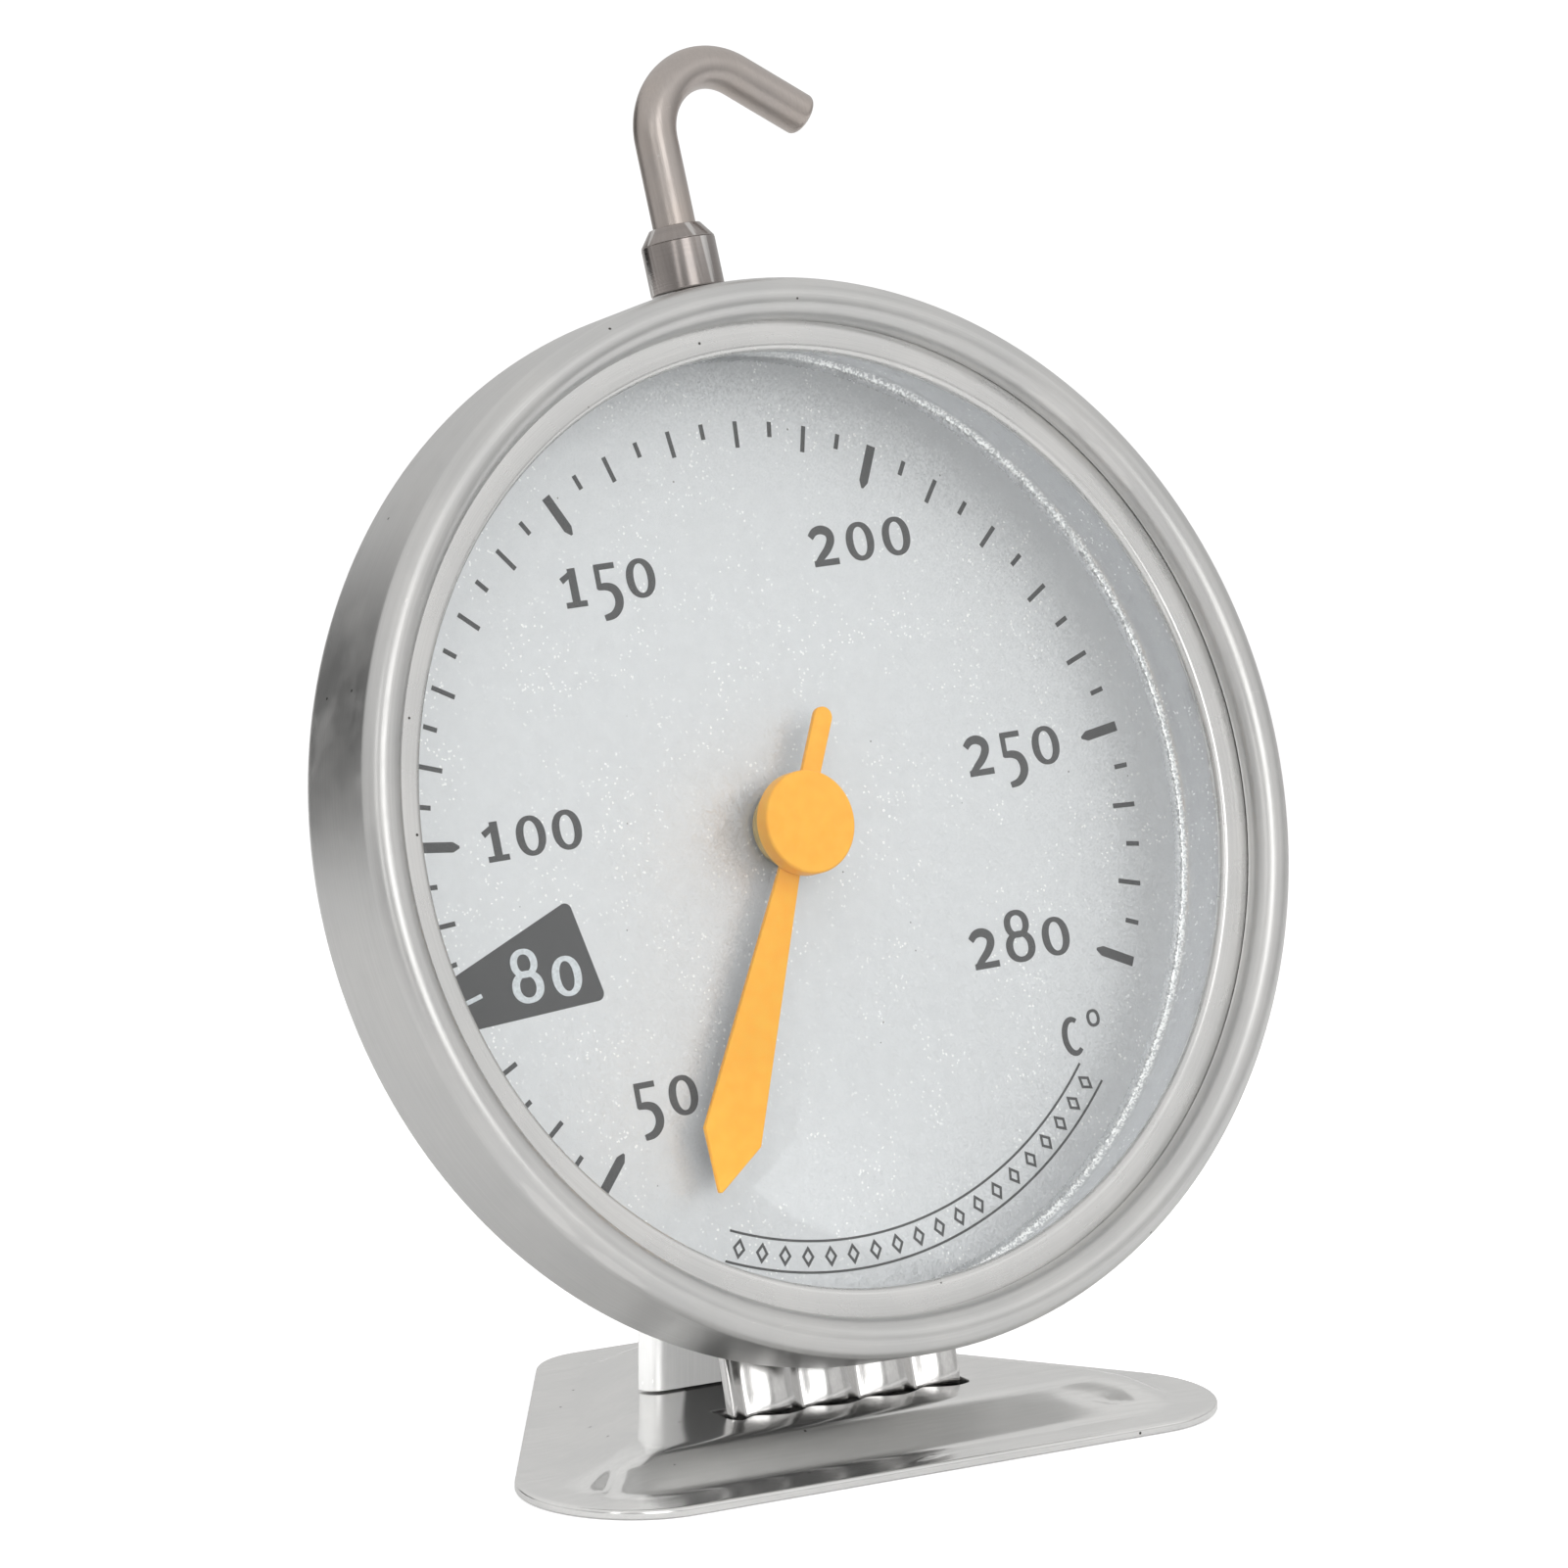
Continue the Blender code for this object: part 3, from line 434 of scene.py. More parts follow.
def steel(name, colour, roughness, grain, grain_depth=0.35, anisotropy=0.0, warm=0.5, wear=0.5,
          dust=0.01, metallic=1.0, shade_below=0.0):
    """Stainless steel: directional grain, cloudy smudges, fine scratches, specks and worn edges; with
    shade_below, painted shade on the flat face where it is seen from below.

    grain is "turned" (round the local Y axis), "upright" (along local Z) or "across" (along local X).
    """
    s = new_material(name)
    if grain == "turned":
        along = s.turning_lines(14000)
    elif grain == "upright":
        along = s.stretched(9000, 9000, 260)
    else:
        along = s.stretched(220, 7000, 7000)
    fine = s.noise(along, 1.0, 4.0, 0.6)
    clouds = s.noise(s.place, 170, 5.0, 0.6)
    smudges = s.noise(s.place, 420, 3.0, 0.5)
    patches = s.noise(s.place, 60, 2.0, 0.5)

    dark = [channel * 0.94 for channel in colour]
    tint = (colour[0] * (1 + 0.05 * warm), colour[1], colour[2] * (1 - 0.06 * warm))
    base = s.blend(s.fit(clouds, 0.35, 0.7), dark, tint)
    base = s.blend(s.fit(fine, 0.25, 0.75, 0.0, 0.30), base, [channel * 0.72 for channel in colour])
    slanted = s.node("Mapping", {"Vector": s.place, "Rotation": (0.5, 0.9, 0.35),
                                 "Scale": (180, 6500, 2500)}).outputs[0]
    scratches = s.times(s.fit(s.noise(slanted, 1.0, 2.0), 0.70, 0.74), s.fit(patches, 0.45, 0.65))
    base = s.blend(s.times(scratches, 0.35), base, SCRATCH_STEEL)
    worn = s.fit(s.geometry("Pointiness"), 0.51, 0.60, 0.0, wear)
    base = s.blend(worn, base, WORN_STEEL)
    base = s.blend(s.specks(1500, 0.16, dust), base, SPECK_STEEL)
    if shade_below:
        # Painted shade: seen from below, as in the polished plate under it, the flat face is coloured near
        # black, standing in for the shaded case it would mirror.
        view = s.node("SeparateXYZ", {0: s.geometry("Incoming")}).outputs
        from_below = s.times(s.fit(view[2], 0.02, -0.06), shade_below)
        flat_part = s.fit(s.math("ABSOLUTE", s.x), 6.6 * MM, 6.2 * MM)
        base = s.blend(s.times(from_below, flat_part), base, SHADED)

    rough = s.math("ADD", s.fit(clouds, 0.3, 0.7, roughness * 0.9, roughness * 1.1),
                   s.fit(smudges, 0.5, 0.8, 0.0, roughness * 0.25))
    rough = s.math("ADD", rough, s.times(fine, roughness * 0.25))
    rough = s.math("SUBTRACT", rough, s.times(worn, roughness * 0.4))
    normal = s.bump(fine, grain_depth, 0.012 * MM)
    normal = s.bump(scratches, 0.4, 0.006 * MM, Normal=normal)
    if grain == "across":
        normal = s.bump(patches, 0.15, 0.04 * MM, Normal=normal)
    more = {"Metallic": metallic, "Anisotropic": anisotropy}
    if anisotropy and grain == "turned":
        more["Tangent"] = s.node("Tangent", direction_type="RADIAL", axis="Y").outputs[0]
    return s.coat(base, rough, normal, **more)


def dial_paint():
    """Silver metallic lacquer with flakes and a soft mottle; painted highlights: some flakes and a line
    along the bend on the right side are made white and glow.
    """
    s = new_material("silver_dial_paint")
    flakes = s.cells(9500)["Color"]
    shade_1, shade_2, shade_3 = s.colour_parts(flakes)
    mottle = s.noise(s.place, 900, 4.0, 0.7)
    groups = s.fit(s.noise(s.place, 240, 3.0), 0.40, 0.62)
    base = s.blend(s.fit(mottle, 0.3, 0.7), (0.785, 0.79, 0.812), (0.82, 0.825, 0.847))
    base = s.blend(s.fit(shade_1, 0.0, 1.0, 0.0, 0.08), base, (0.92, 0.95, 0.98))
    # Painted highlights: a few flakes, in scattered groups, turn white and glow a little.
    painted_sparkles = s.times(s.math("GREATER_THAN", shade_2, 0.972), groups)
    # Painted highlight: a line along the bend, on the right side only, turns white and glows.
    bend = s.times(s.fit(s.radius(), 27.35 * MM, 27.75 * MM), s.fit(s.x, 0.0, 10 * MM))
    painted_glints = s.times(s.math("GREATER_THAN", shade_2, 0.55), bend)
    painted_glints = s.times(painted_glints, s.fit(s.y, -0.32 * MM, -0.16 * MM))
    bright = s.math("MAXIMUM", painted_sparkles, painted_glints)
    base = s.blend(bright, base, (1.0, 1.0, 1.0))
    smoother = s.fit(s.radius(), 27.1 * MM, 27.5 * MM, 1.0, 0.35)
    rough = s.times(s.fit(shade_3, 0.0, 1.0, 0.34, 0.50), smoother)
    tilt = s.vector_math("SUBTRACT", {0: flakes, 1: (0.5, 0.5, 0.5)})
    tilt = s.vector_math("SCALE", {0: tilt, 3: 0.20})
    tilted = s.vector_math("ADD", {0: s.geometry("Normal"), 1: tilt})
    tilted = s.vector_math("NORMALIZE", {0: tilted})
    # The painted highlights glow, the bend line more than the flakes.
    painted_glow = s.times(bright, s.fit(bend, 0.0, 1.0, 0.11, 0.22))
    return s.coat(base, rough, s.bump(mottle, 0.05, 0.01 * MM, Normal=tilted), Metallic=0.55,
                  Emission_Color=(1.0, 1.0, 1.0, 1.0), Emission_Strength=painted_glow)


def amber_paint():
    s = new_material("amber_pointer_paint")
    mottle = s.noise(s.place, 1300, 4.0, 0.6)
    clouds = s.noise(s.place, 260, 2.0)
    base = s.blend(s.fit(mottle, 0.3, 0.7), (0.98, 0.42, 0.026), (0.98, 0.475, 0.038))
    base = s.blend(s.fit(clouds, 0.5, 0.8, 0.0, 0.35), base, (0.95, 0.41, 0.026))
    base = s.blend(s.specks(2600, 0.14, 0.012), base, (0.55, 0.22, 0.03))
    return s.coat(base, s.fit(clouds, 0.3, 0.7, 0.38, 0.50), s.bump(mottle, 0.15, 0.03 * MM),
                  Specular_IOR_Level=0.3)


def ink(name, colour):
    """Screen-printed enamel with a slightly uneven film."""
    s = new_material(name)
    film = s.noise(s.place, 5200, 3.0, 0.6)
    base = s.blend(s.fit(film, 0.3, 0.7), [channel * 0.88 for channel in colour],
                   [channel * 1.12 for channel in colour])
    return s.coat(base, s.fit(film, 0.3, 0.7, 0.42, 0.55), s.bump(film, 0.2, 0.01 * MM))


def lens_glass():
    """Thin clear glass: see-through with weak mirror reflections, faint film and dust."""
    s = new_material("lens_glass")
    film = s.noise(s.place, 110, 4.0, 0.6)
    share = s.times(s.node("Fresnel", {"IOR": 1.45}).outputs[0], 0.75)
    shine = s.node("BsdfGlossy", {"Color": (1, 1, 1, 1), "Roughness": s.fit(film, 0.3, 0.7, 0.0, 0.03)})
    clear = s.node("BsdfTransparent", {"Color": (0.985, 0.992, 0.99, 1)})
    dust = s.node("BsdfDiffuse", {"Color": (0.35, 0.35, 0.34, 1)})
    dusty = s.mix(s.times(s.specks(900, 0.07, 0.05), 0.7), s.mix(share, clear, shine), dust)
    path = s.node("LightPath").outputs
    passing = s.math("MAXIMUM", path["Is Shadow Ray"], path["Is Diffuse Ray"])
    return s.finish(s.mix(passing, dusty, clear))


def movement_metal(name, turned_lines, clouds, spread, colours, roughness):
    """Metal of the movement, clouded and finely lined: round the local Y axis, or along the strip."""
    s = new_material(name)
    fine = s.noise(s.turning_lines(16000) if turned_lines else s.stretched(900, 15000, 900), 1.0)
    base = s.blend(s.fit(s.noise(s.place, *clouds), *spread), *colours)
    return s.coat(base, s.fit(fine, 0.2, 0.8, *roughness), s.bump(fine, 0.3, 0.01 * MM), Metallic=1.0)


# Each look: its material, and the slot it belongs to in the record.
LOOKS = {
    "rim": (steel("rim_steel", (0.67, 0.67, 0.665), 0.31, "turned", 0.30, 0.45, warm=0.1, wear=0.25),
            "brushed_steel"),
    "ring": (steel("ring_steel", (0.77, 0.77, 0.765), 0.24, "turned", 0.15, 0.3, warm=0.1, wear=0.3),
             "ring_steel"),
    "cup": (steel("cup_steel", (0.66, 0.66, 0.655), 0.27, "turned", 0.45, 0.5, warm=0.1), "satin_steel"),
    "foot": (steel("foot_steel", (0.79, 0.79, 0.785), 0.15, "across", 0.12, warm=0.1, dust=0.04,
                   wear=0.2, metallic=0.9), "polished_steel"),
    "leg": (steel("stand_steel", (0.76, 0.755, 0.75), 0.13, "upright", 0.15, warm=0.1, dust=0.02,
                  wear=0.3), "polished_steel"),
    # The strut's flat face carries painted shade where it is seen from below, in place of the shaded case
    # it would mirror in the plate.
    "strut": (steel("strut_steel", (0.80, 0.80, 0.795), 0.22, "upright", 0.15, warm=0.1, dust=0.02,
                    wear=0.3, metallic=0.35, shade_below=0.9), "polished_steel"),
    "wire": (steel("wire_steel", (0.51, 0.465, 0.44), 0.30, "upright", 0.6, warm=0.6, wear=0.3),
             "wire_steel"),
    "ferrule": (steel("ferrule_steel", (0.325, 0.30, 0.293), 0.16, "turned", 0.5, 0.5, warm=0.6),
                "wire_steel"),
    "rivet": (steel("rivet_steel", (0.58, 0.58, 0.585), 0.25, "turned", 0.3, dust=0.02), "rivet_steel"),
    "dial": (dial_paint(), "dial_paint"),
    "amber": (amber_paint(), "amber_paint"),
    "ink": (ink("dark_print", (0.07, 0.07, 0.073)), "dial_paint"),
    "light_ink": (ink("light_print", (0.62, 0.65, 0.68)), "dial_paint"),
    "glass": (lens_glass(), "glass"),
    "brass": (movement_metal("bush_brass", True, (500, 4.0), (0.3, 0.7),
                             ((0.58, 0.42, 0.17), (0.74, 0.56, 0.26)), (0.22, 0.36)), "bush_brass"),
    "bimetal": (movement_metal("bimetal_strip", False, (300, 3.0), (0.35, 0.65),
                               ((0.52, 0.42, 0.30), (0.60, 0.55, 0.48)), (0.25, 0.42)), "bimetal"),
}


# ---- case ----
STEM_RADIUS = 0.8 * MM
STEM_CLEARANCE = 0.08 * MM
ROLL_GAP = 0.04 * MM            # between the rolled edge and the lens ring
TURN_IN = 1.4 * MM              # how far the wall reaches inwards behind
REAR_BEND = 0.8 * MM
LIP_BEND = 0.22 * MM
DIAL_BEND = 0.75 * MM
CUP_SHOULDER = 29.0 * MM        # middle of the cup's outer step
CUP_BENDS = [0.5 * MM, 0.25 * MM, 0.25 * MM, 0.6 * MM, 0.9 * MM]
BUSH_HOLE_RADIUS = 1.75 * MM
CUP_STEP = 0.9 * MM
BOSS_RADIUS = 21.4 * MM
BOSS_SLOPE = 0.5 * MM
VENT_CIRCLE = 12.5 * MM
VENT_RADIUS = 1.6 * MM
RING_EDGE = 29.9 * MM           # hidden outer edge of the lens ring


def make_stem_cutter():
    """Hole for the hook's stem, through the side wall and the cup."""
    radius = STEM_RADIUS + STEM_CLEARANCE
    low, high = CASE_RADIUS - 3 * MM, CASE_RADIUS + MM
    outline = [(0, low), (radius, low), (radius, high), (0, high)]
    return turned("stem_cutter", outline, matrix=SWIVEL @ UPRIGHT)


def make_bezel_ring():
    """Side wall, rolled over in front, turned in behind, with the hook's hole."""
    half = SHEET / 2
    wall = CASE_RADIUS - half
    roll = ROLL_RADIUS - half
    roll_front = RIM_FRONT - ROLL_RADIUS
    path = [(CASE_RADIUS - 2 * ROLL_RADIUS + half, RING_FRONT + ROLL_GAP)]
    path += arc((CASE_RADIUS - ROLL_RADIUS, roll_front), roll, 180, 0, 28)
    path += fillet([(wall, roll_front - 0.5 * MM), (wall, CASE_REAR + half),
                    (CASE_RADIUS - TURN_IN, CASE_REAR + half)], REAR_BEND, 10)
    bezel = pressed("bezel_ring_rim", path, "rim", "bezel_ring")
    combine(bezel, make_stem_cutter())
    apply_modifiers(bezel)


def make_lens_ring():
    """Flat ring tucked under the rolled rim, with a turned-down inner lip."""
    half = SHEET / 2
    face = RING_FRONT - half
    lip = OPENING_RADIUS + half
    path = fillet([(RING_EDGE, face), (lip, face), (lip, RING_REAR)], LIP_BEND, 6)
    pressed("lens_ring_plate", path, "ring", "lens_ring")


def make_lens():
    edge = 0.2 * MM
    outline = [(0, LENS_REAR)]
    outline += fillet([(LENS_RADIUS - 2 * edge, LENS_REAR), (LENS_RADIUS, LENS_REAR),
                       (LENS_RADIUS, LENS_FRONT), (LENS_RADIUS - 2 * edge, LENS_FRONT)], edge, 4)
    outline.append((0, LENS_FRONT))
    turned("lens_pane", outline, "glass", segments=ROUND, node="lens")


def make_dial_plate():
    half = SHEET / 2
    wall = DIAL_EDGE - half
    reach = wall - BUSH_HOLE_RADIUS
    flat = [(BUSH_HOLE_RADIUS + reach * step / 24, -half) for step in range(20)]
    path = flat + fillet([flat[-1], (wall, -half), (wall, DIAL_RIM)], DIAL_BEND, 10)[1:]
    pressed("dial_dish", path, "dial", "dial_plate")


def make_rear_cup():
    """The back of the case: a stepped dish with seven round vents."""
    half = SHEET / 2
    wall = CUP_EDGE - half
    boss = CUP_REAR + half
    path = fillet([(wall, CUP_RIM), (wall, 0), (CUP_SHOULDER + 0.3 * MM, 0),
                   (CUP_SHOULDER - 0.3 * MM, -CUP_STEP), (BOSS_RADIUS + BOSS_SLOPE, -CUP_STEP),
                   (BOSS_RADIUS - BOSS_SLOPE, boss), (BUSH_HOLE_RADIUS, boss)], CUP_BENDS, 6)
    cup = pressed("rear_cup_shell", path, "cup", "rear_cup")
    bm = bmesh.new()
    for angle in range(-114, 115, 38):
        vent = arc(polar(math.radians(angle), VENT_CIRCLE), VENT_RADIUS, 2, 356, 59)
        add_prism(bm, vent, CUP_REAR - MM, CUP_REAR + MM)
    combine(cup, finish_mesh("vent_cutter", bm, matrix=HEAD))
    combine(cup, make_stem_cutter())
    apply_modifiers(cup)


# ---- movement ----
BORE = ARBOR_RADIUS + 0.08 * MM
CHAMFER = 0.15 * MM
NECK_RADIUS = 1.5 * MM          # of the bushes, where they pass the sheet
PEEN_RADIUS = 2.0 * MM
PEEN = 0.3 * MM
POST_RADIUS = 0.5 * MM


def make_front_bush():
    front, rear = depths("front_bush")
    flange = span("front_bush", HEAD)[1].x
    flange_rear = 0.25 * MM
    outline = [(BORE, front), (flange - CHAMFER, front), (flange, front - CHAMFER), (flange, flange_rear),
               (NECK_RADIUS, flange_rear), (NECK_RADIUS, rear + PEEN), (PEEN_RADIUS, rear + PEEN),
               (PEEN_RADIUS, rear), (BORE, rear)]
    turned("front_bush_turned", outline, "brass", node="front_bush")


def make_rear_bush():
    front, rear = depths("rear_bush")
    flange = span("rear_bush", HEAD)[1].x
    outside = rear + 0.35 * MM
    outline = [(0, rear), (flange - CHAMFER, rear), (flange, rear + CHAMFER), (flange, outside),
               (NECK_RADIUS, outside), (NECK_RADIUS, front - PEEN), (PEEN_RADIUS, front - PEEN),
               (PEEN_RADIUS, front), (BORE, front), (BORE, outside), (0, outside)]
    turned("rear_bush_turned", outline, "brass", node="rear_bush")


def make_coil_post():
    front, rear = depths("coil_post")
    low, high = span("coil_post", HEAD)
    foot_front = rear + 0.25 * MM
    tip = 0.1 * MM
    outline = [(0, rear), (high.z, rear), (high.z, foot_front), (POST_RADIUS, foot_front),
               (POST_RADIUS, front - tip), (POST_RADIUS - tip, front), (0, front)]
    place = HEAD @ Matrix.Translation(((low.x + high.x) / 2, 0, (low.z + high.z) / 2))
    turned("coil_post_stud", outline, "rivet", place, node="coil_post")


def make_coil_collet():
    front, rear = depths("coil_collet", SPINDLE)
    outline = chamfered(BORE, span("coil_collet", SPINDLE)[1].x, rear, front, 0.12 * MM)
    turned("coil_collet_turned", outline, "brass", SPINDLE, body="pointer", node="coil_collet")


def make_arbor():
    outline = chamfered(0, ARBOR_RADIUS, ARBOR_REAR, ARBOR_FRONT, 0.2 * MM)
    turned("pointer_arbor_pin", outline, "rivet", SPINDLE, body="pointer", node="pointer_arbor")


def make_bimetal_coil():
    """Flat spiral strip whose outer end runs out to the post."""
    front, rear = depths("bimetal_coil")
    start, end, turns, thickness = 2.25 * MM, 7.0 * MM, 5, 0.35 * MM
    steps = 60 * turns
    line = []
    for step in range(steps - 2):
        share = step / steps
        line.append(polar(math.pi / 2 - 2 * math.pi * turns * share, start + (end - start) * share))
    line += [(end + 0.15 * MM, -0.32 * MM), (end + 0.45 * MM, -0.08 * MM)]
    line.append((span("bimetal_coil", HEAD)[1].x, 0))
    outline = offset_path(line, thickness / 2) + offset_path(line, -thickness / 2)[::-1]
    bm = bmesh.new()
    rings = add_rings(bm, ((outline, rear), (outline, front)))
    skin_rings(bm, rings, capped=False)
    for ring in rings:
        for index in range(len(line) - 1):
            bm.faces.new((ring[index], ring[index + 1], ring[-2 - index], ring[-1 - index]))
    finish_mesh("bimetal_coil_strip", bm, "bimetal", HEAD, node="bimetal_coil")


def leave_underside_bare(piece):
    """The pointer is sprayed from the front only."""
    piece.data.materials.append(LOOKS["rivet"][0])
    for face in piece.data.polygons:
        if face.normal.y > 0.8:
            face.material_index = 1


def make_pointer_blade():
    """Amber blade with a round tail and a triangular tip."""
    narrow = 0.6 * MM
    shoulder = 18.85 * MM
    hub = 1.9 * MM
    blunt = 0.08 * MM
    hub_angle = math.degrees(math.asin(narrow / hub))
    outline = arc((0, BLADE_LOW.z + narrow), narrow, 180, 360, 20)
    outline += arc((0, 0), hub, -90 + hub_angle, 90 - hub_angle, 28)
    outline += [(BLADE_HIGH.x, shoulder), (blunt, BLADE_HIGH.z), (-blunt, BLADE_HIGH.z),
                (-BLADE_HIGH.x, shoulder)]
    outline += arc((0, 0), hub, 90 + hub_angle, 270 - hub_angle, 28)
    bm = bmesh.new()
    add_prism(bm, outline, BLADE_REAR, BLADE_FRONT)
    blade = finish_mesh("pointer_blade_painted", bm, "amber", SPINDLE, body="pointer", node="pointer_blade")
    soften(blade, 0.05 * MM, 3, 50)
    apply_modifiers(blade)
    leave_underside_bare(blade)


def make_pointer_cap():
    """Disc over the blade's hub, hollow where the arbor ends."""
    rear = BLADE_FRONT + 0.05 * MM
    roof = rear + 0.65 * MM
    edge = 0.16 * MM
    outline = [(0, roof), (BORE, roof), (BORE, rear)]
    outline += fillet([(HUB_RADIUS - 2 * edge, rear), (HUB_RADIUS, rear), (HUB_RADIUS, HUB_FRONT),
                       (HUB_RADIUS - 0.6 * MM, HUB_FRONT)], [0.06 * MM, edge], 6)
    outline.append((0, HUB_FRONT - 0.02 * MM))
    cap = turned("pointer_cap_disc", outline, "amber", SPINDLE, 96, body="pointer", node="pointer_cap")
    leave_underside_bare(cap)


# ---- printed dial ----
# The print sits a little off the pointer's axis and is turned slightly, as on a cheap dial.
PRINT = (HEAD @ Matrix.Translation((0.17 * MM, 0, -0.68 * MM))
         @ Matrix.Rotation(math.radians(-2.4), 4, "Y"))
INK_REAR = -0.05 * MM
INK_FRONT = 0.015 * MM
TICK_OUTER = 24.45 * MM
TICK_WIDTH = 0.28 * MM
TEN_INNER, FIVE_INNER = 22.9 * MM, 23.55 * MM
MAJOR_INNER, MAJOR_WIDTH, MAJOR_POINT = 21.8 * MM, 0.59 * MM, 0.42 * MM
MAJOR_VALUES = (50, 100, 150, 200, 250, 280)
MARKED_VALUE = 80
X_HEIGHT = 2.25 * MM


def scale_angle(value):
    """Clockwise angle of a temperature: nearly even, a little tighter towards both ends."""
    share = (value - 165) / 115
    return math.radians(126.25 * share + 1.35 * share ** 2 - 0.19 * share ** 3 - 12)


def bar_outline(angle, inner, outer, width, pointed=0.0):
    """Radial bar; a pointed bar narrows over that length at its inner end."""
    corners = [(-width / 2, outer), (-width / 2, inner + pointed), (-width / 9, inner),
               (width / 9, inner), (width / 2, inner + pointed), (width / 2, outer)]
    if not pointed:
        corners = [corners[0], (-width / 2, inner), (width / 2, inner), corners[-1]]
    turn = Matrix.Rotation(-angle, 2)
    return [tuple(turn @ Vector(corner)) for corner in corners]


def add_mark(bm, outline, front=INK_FRONT):
    add_prism(bm, outline, INK_REAR, front)


def printed(name, bm, look="ink", front=INK_FRONT, merge=False):
    """A piece of print; merge joins the strokes that cross."""
    mark = finish_mesh(name, bm, look, PRINT)
    if merge:
        bm = bmesh.new()
        add_mark(bm, [(50 * MM, 0), (51 * MM, 0), (51 * MM, MM)], front)
        combine(mark, finish_mesh("merge_helper", bm, matrix=PRINT), use_self=True)
        apply_modifiers(mark)


def make_ticks():
    fine, coarse = bmesh.new(), bmesh.new()
    for value in range(50, 281, 5):
        angle = scale_angle(value)
        if value in MAJOR_VALUES:
            add_mark(coarse, bar_outline(angle, MAJOR_INNER, TICK_OUTER, MAJOR_WIDTH, MAJOR_POINT))
        elif value not in (MARKED_VALUE, MARKED_VALUE - 5):
            inner = TEN_INNER if value % 10 == 0 else FIVE_INNER
            add_mark(fine, bar_outline(angle, inner, TICK_OUTER, TICK_WIDTH))
    printed("scale_fine_ticks", fine)
    printed("scale_main_ticks", coarse)


def make_wedge():
    """Dark field behind the marked value, with rounded inner corners and one light tick."""
    first, last = math.radians(-108.0), math.radians(-100.8)
    rim = [polar(first + (last - first) * step / 12, TICK_OUTER) for step in range(13)]
    inner = fillet([rim[-1], (-15.35 * MM, -1.24 * MM), (-14.09 * MM, -7.12 * MM), rim[0]], 0.45 * MM, 8)
    bm = bmesh.new()
    add_mark(bm, rim + inner[1:-1])
    printed("marked_value_field", bm)
    bm = bmesh.new()
    add_mark(bm, bar_outline(scale_angle(MARKED_VALUE), 22.8 * MM, TICK_OUTER, 0.26 * MM), 2 * INK_FRONT)
    printed("marked_value_tick", bm, "light_ink")


def ribbon(points, widths):
    """Outline of a pen stroke whose width changes along its path."""
    left, right = [], []
    for index, point in enumerate(points):
        before = Vector(points[max(index - 1, 0)])
        after = Vector(points[min(index + 1, len(points) - 1)])
        along = (after - before).normalized()
        side = Vector((-along.y, along.x)) * widths[index] / 2
        left.append(tuple(Vector(point) + side))
        right.append(tuple(Vector(point) - side))
    return left + right[::-1]


def stroke(points, start, middle, end):
    """A ribbon along the points, with widths that pass from start over middle to end."""
    widths = []
    for index in range(len(points)):
        share = index / (len(points) - 1)
        widths.append(start + (end - start) * share
                      + (middle - (start + end) / 2) * math.sin(math.pi * share))
    return ribbon(points, widths)


def curve_through(points, steps=7):
    """Smooth path through a few points (Catmull-Rom)."""
    padded = [points[0]] + list(points) + [points[-1]]
    path = []
    for a, b, c, d in zip(padded, padded[1:], padded[2:], padded[3:]):
        a, b, c, d = Vector(a), Vector(b), Vector(c), Vector(d)
        for step in range(steps):
            t = step / steps
            path.append(tuple(0.5 * (2 * b + (c - a) * t + (2 * a - 5 * b + 4 * c - d) * t * t
                                     + (3 * b - a - 3 * c + d) * t ** 3)))
    path.append(tuple(points[-1]))
    return path


def oval(centre, half_width, half_height, fullness=2.3, steps=48):
    """Closed rounded shape, fuller than an ellipse."""
    points = []
    for step in range(steps):
        angle = 2 * math.pi * step / steps
        c, s = math.cos(angle), math.sin(angle)
        points.append((centre[0] + half_width * math.copysign(abs(c) ** (2 / fullness), c),
                       centre[1] + half_height * math.copysign(abs(s) ** (2 / fullness), s)))
    return points


def scaled(points, unit, origin):
    return [(origin[0] + x * unit, origin[1] + y * unit) for x, y in points]


# Old-style figures, in x-heights round the middle of the x-height. Loops: middle, half width and half
# height outside, then inside. Strokes: the pen's points, then its widths at start, middle and end.
LOOPS = {
    "0": [((0, 0), 0.43, 0.51, 0.205, 0.38)],
    "8": [((0, 0.50), 0.39, 0.365, 0.19, 0.225), ((0, -0.10), 0.46, 0.41, 0.235, 0.265)],
}
STROKES = {
    "1": [([(0.04, -0.45), (0.04, 0.50)], 0.235, 0.235, 0.235),
          ([(0.13, 0.445), (-0.30, 0.20)], 0.13, 0.15, 0.17),
          ([(-0.27, -0.43), (0.35, -0.43)], 0.15, 0.15, 0.15)],
    "2": [([(-0.36, 0.27), (-0.20, 0.41), (0.02, 0.435), (0.21, 0.33), (0.24, 0.14), (0.10, -0.08),
            (-0.13, -0.28), (-0.30, -0.44)], 0.18, 0.24, 0.15),
          ([(-0.37, -0.425), (0.40, -0.425)], 0.16, 0.165, 0.17)],
    "5": [([(0.30, 0.43), (-0.31, 0.43)], 0.155, 0.155, 0.155),
          ([(-0.235, 0.46), (-0.245, -0.13)], 0.16, 0.155, 0.15),
          ([(-0.29, -0.08), (-0.02, -0.09), (0.18, -0.19), (0.27, -0.41), (0.22, -0.64), (0.03, -0.82),
            (-0.24, -0.88)], 0.15, 0.25, 0.15)],
}


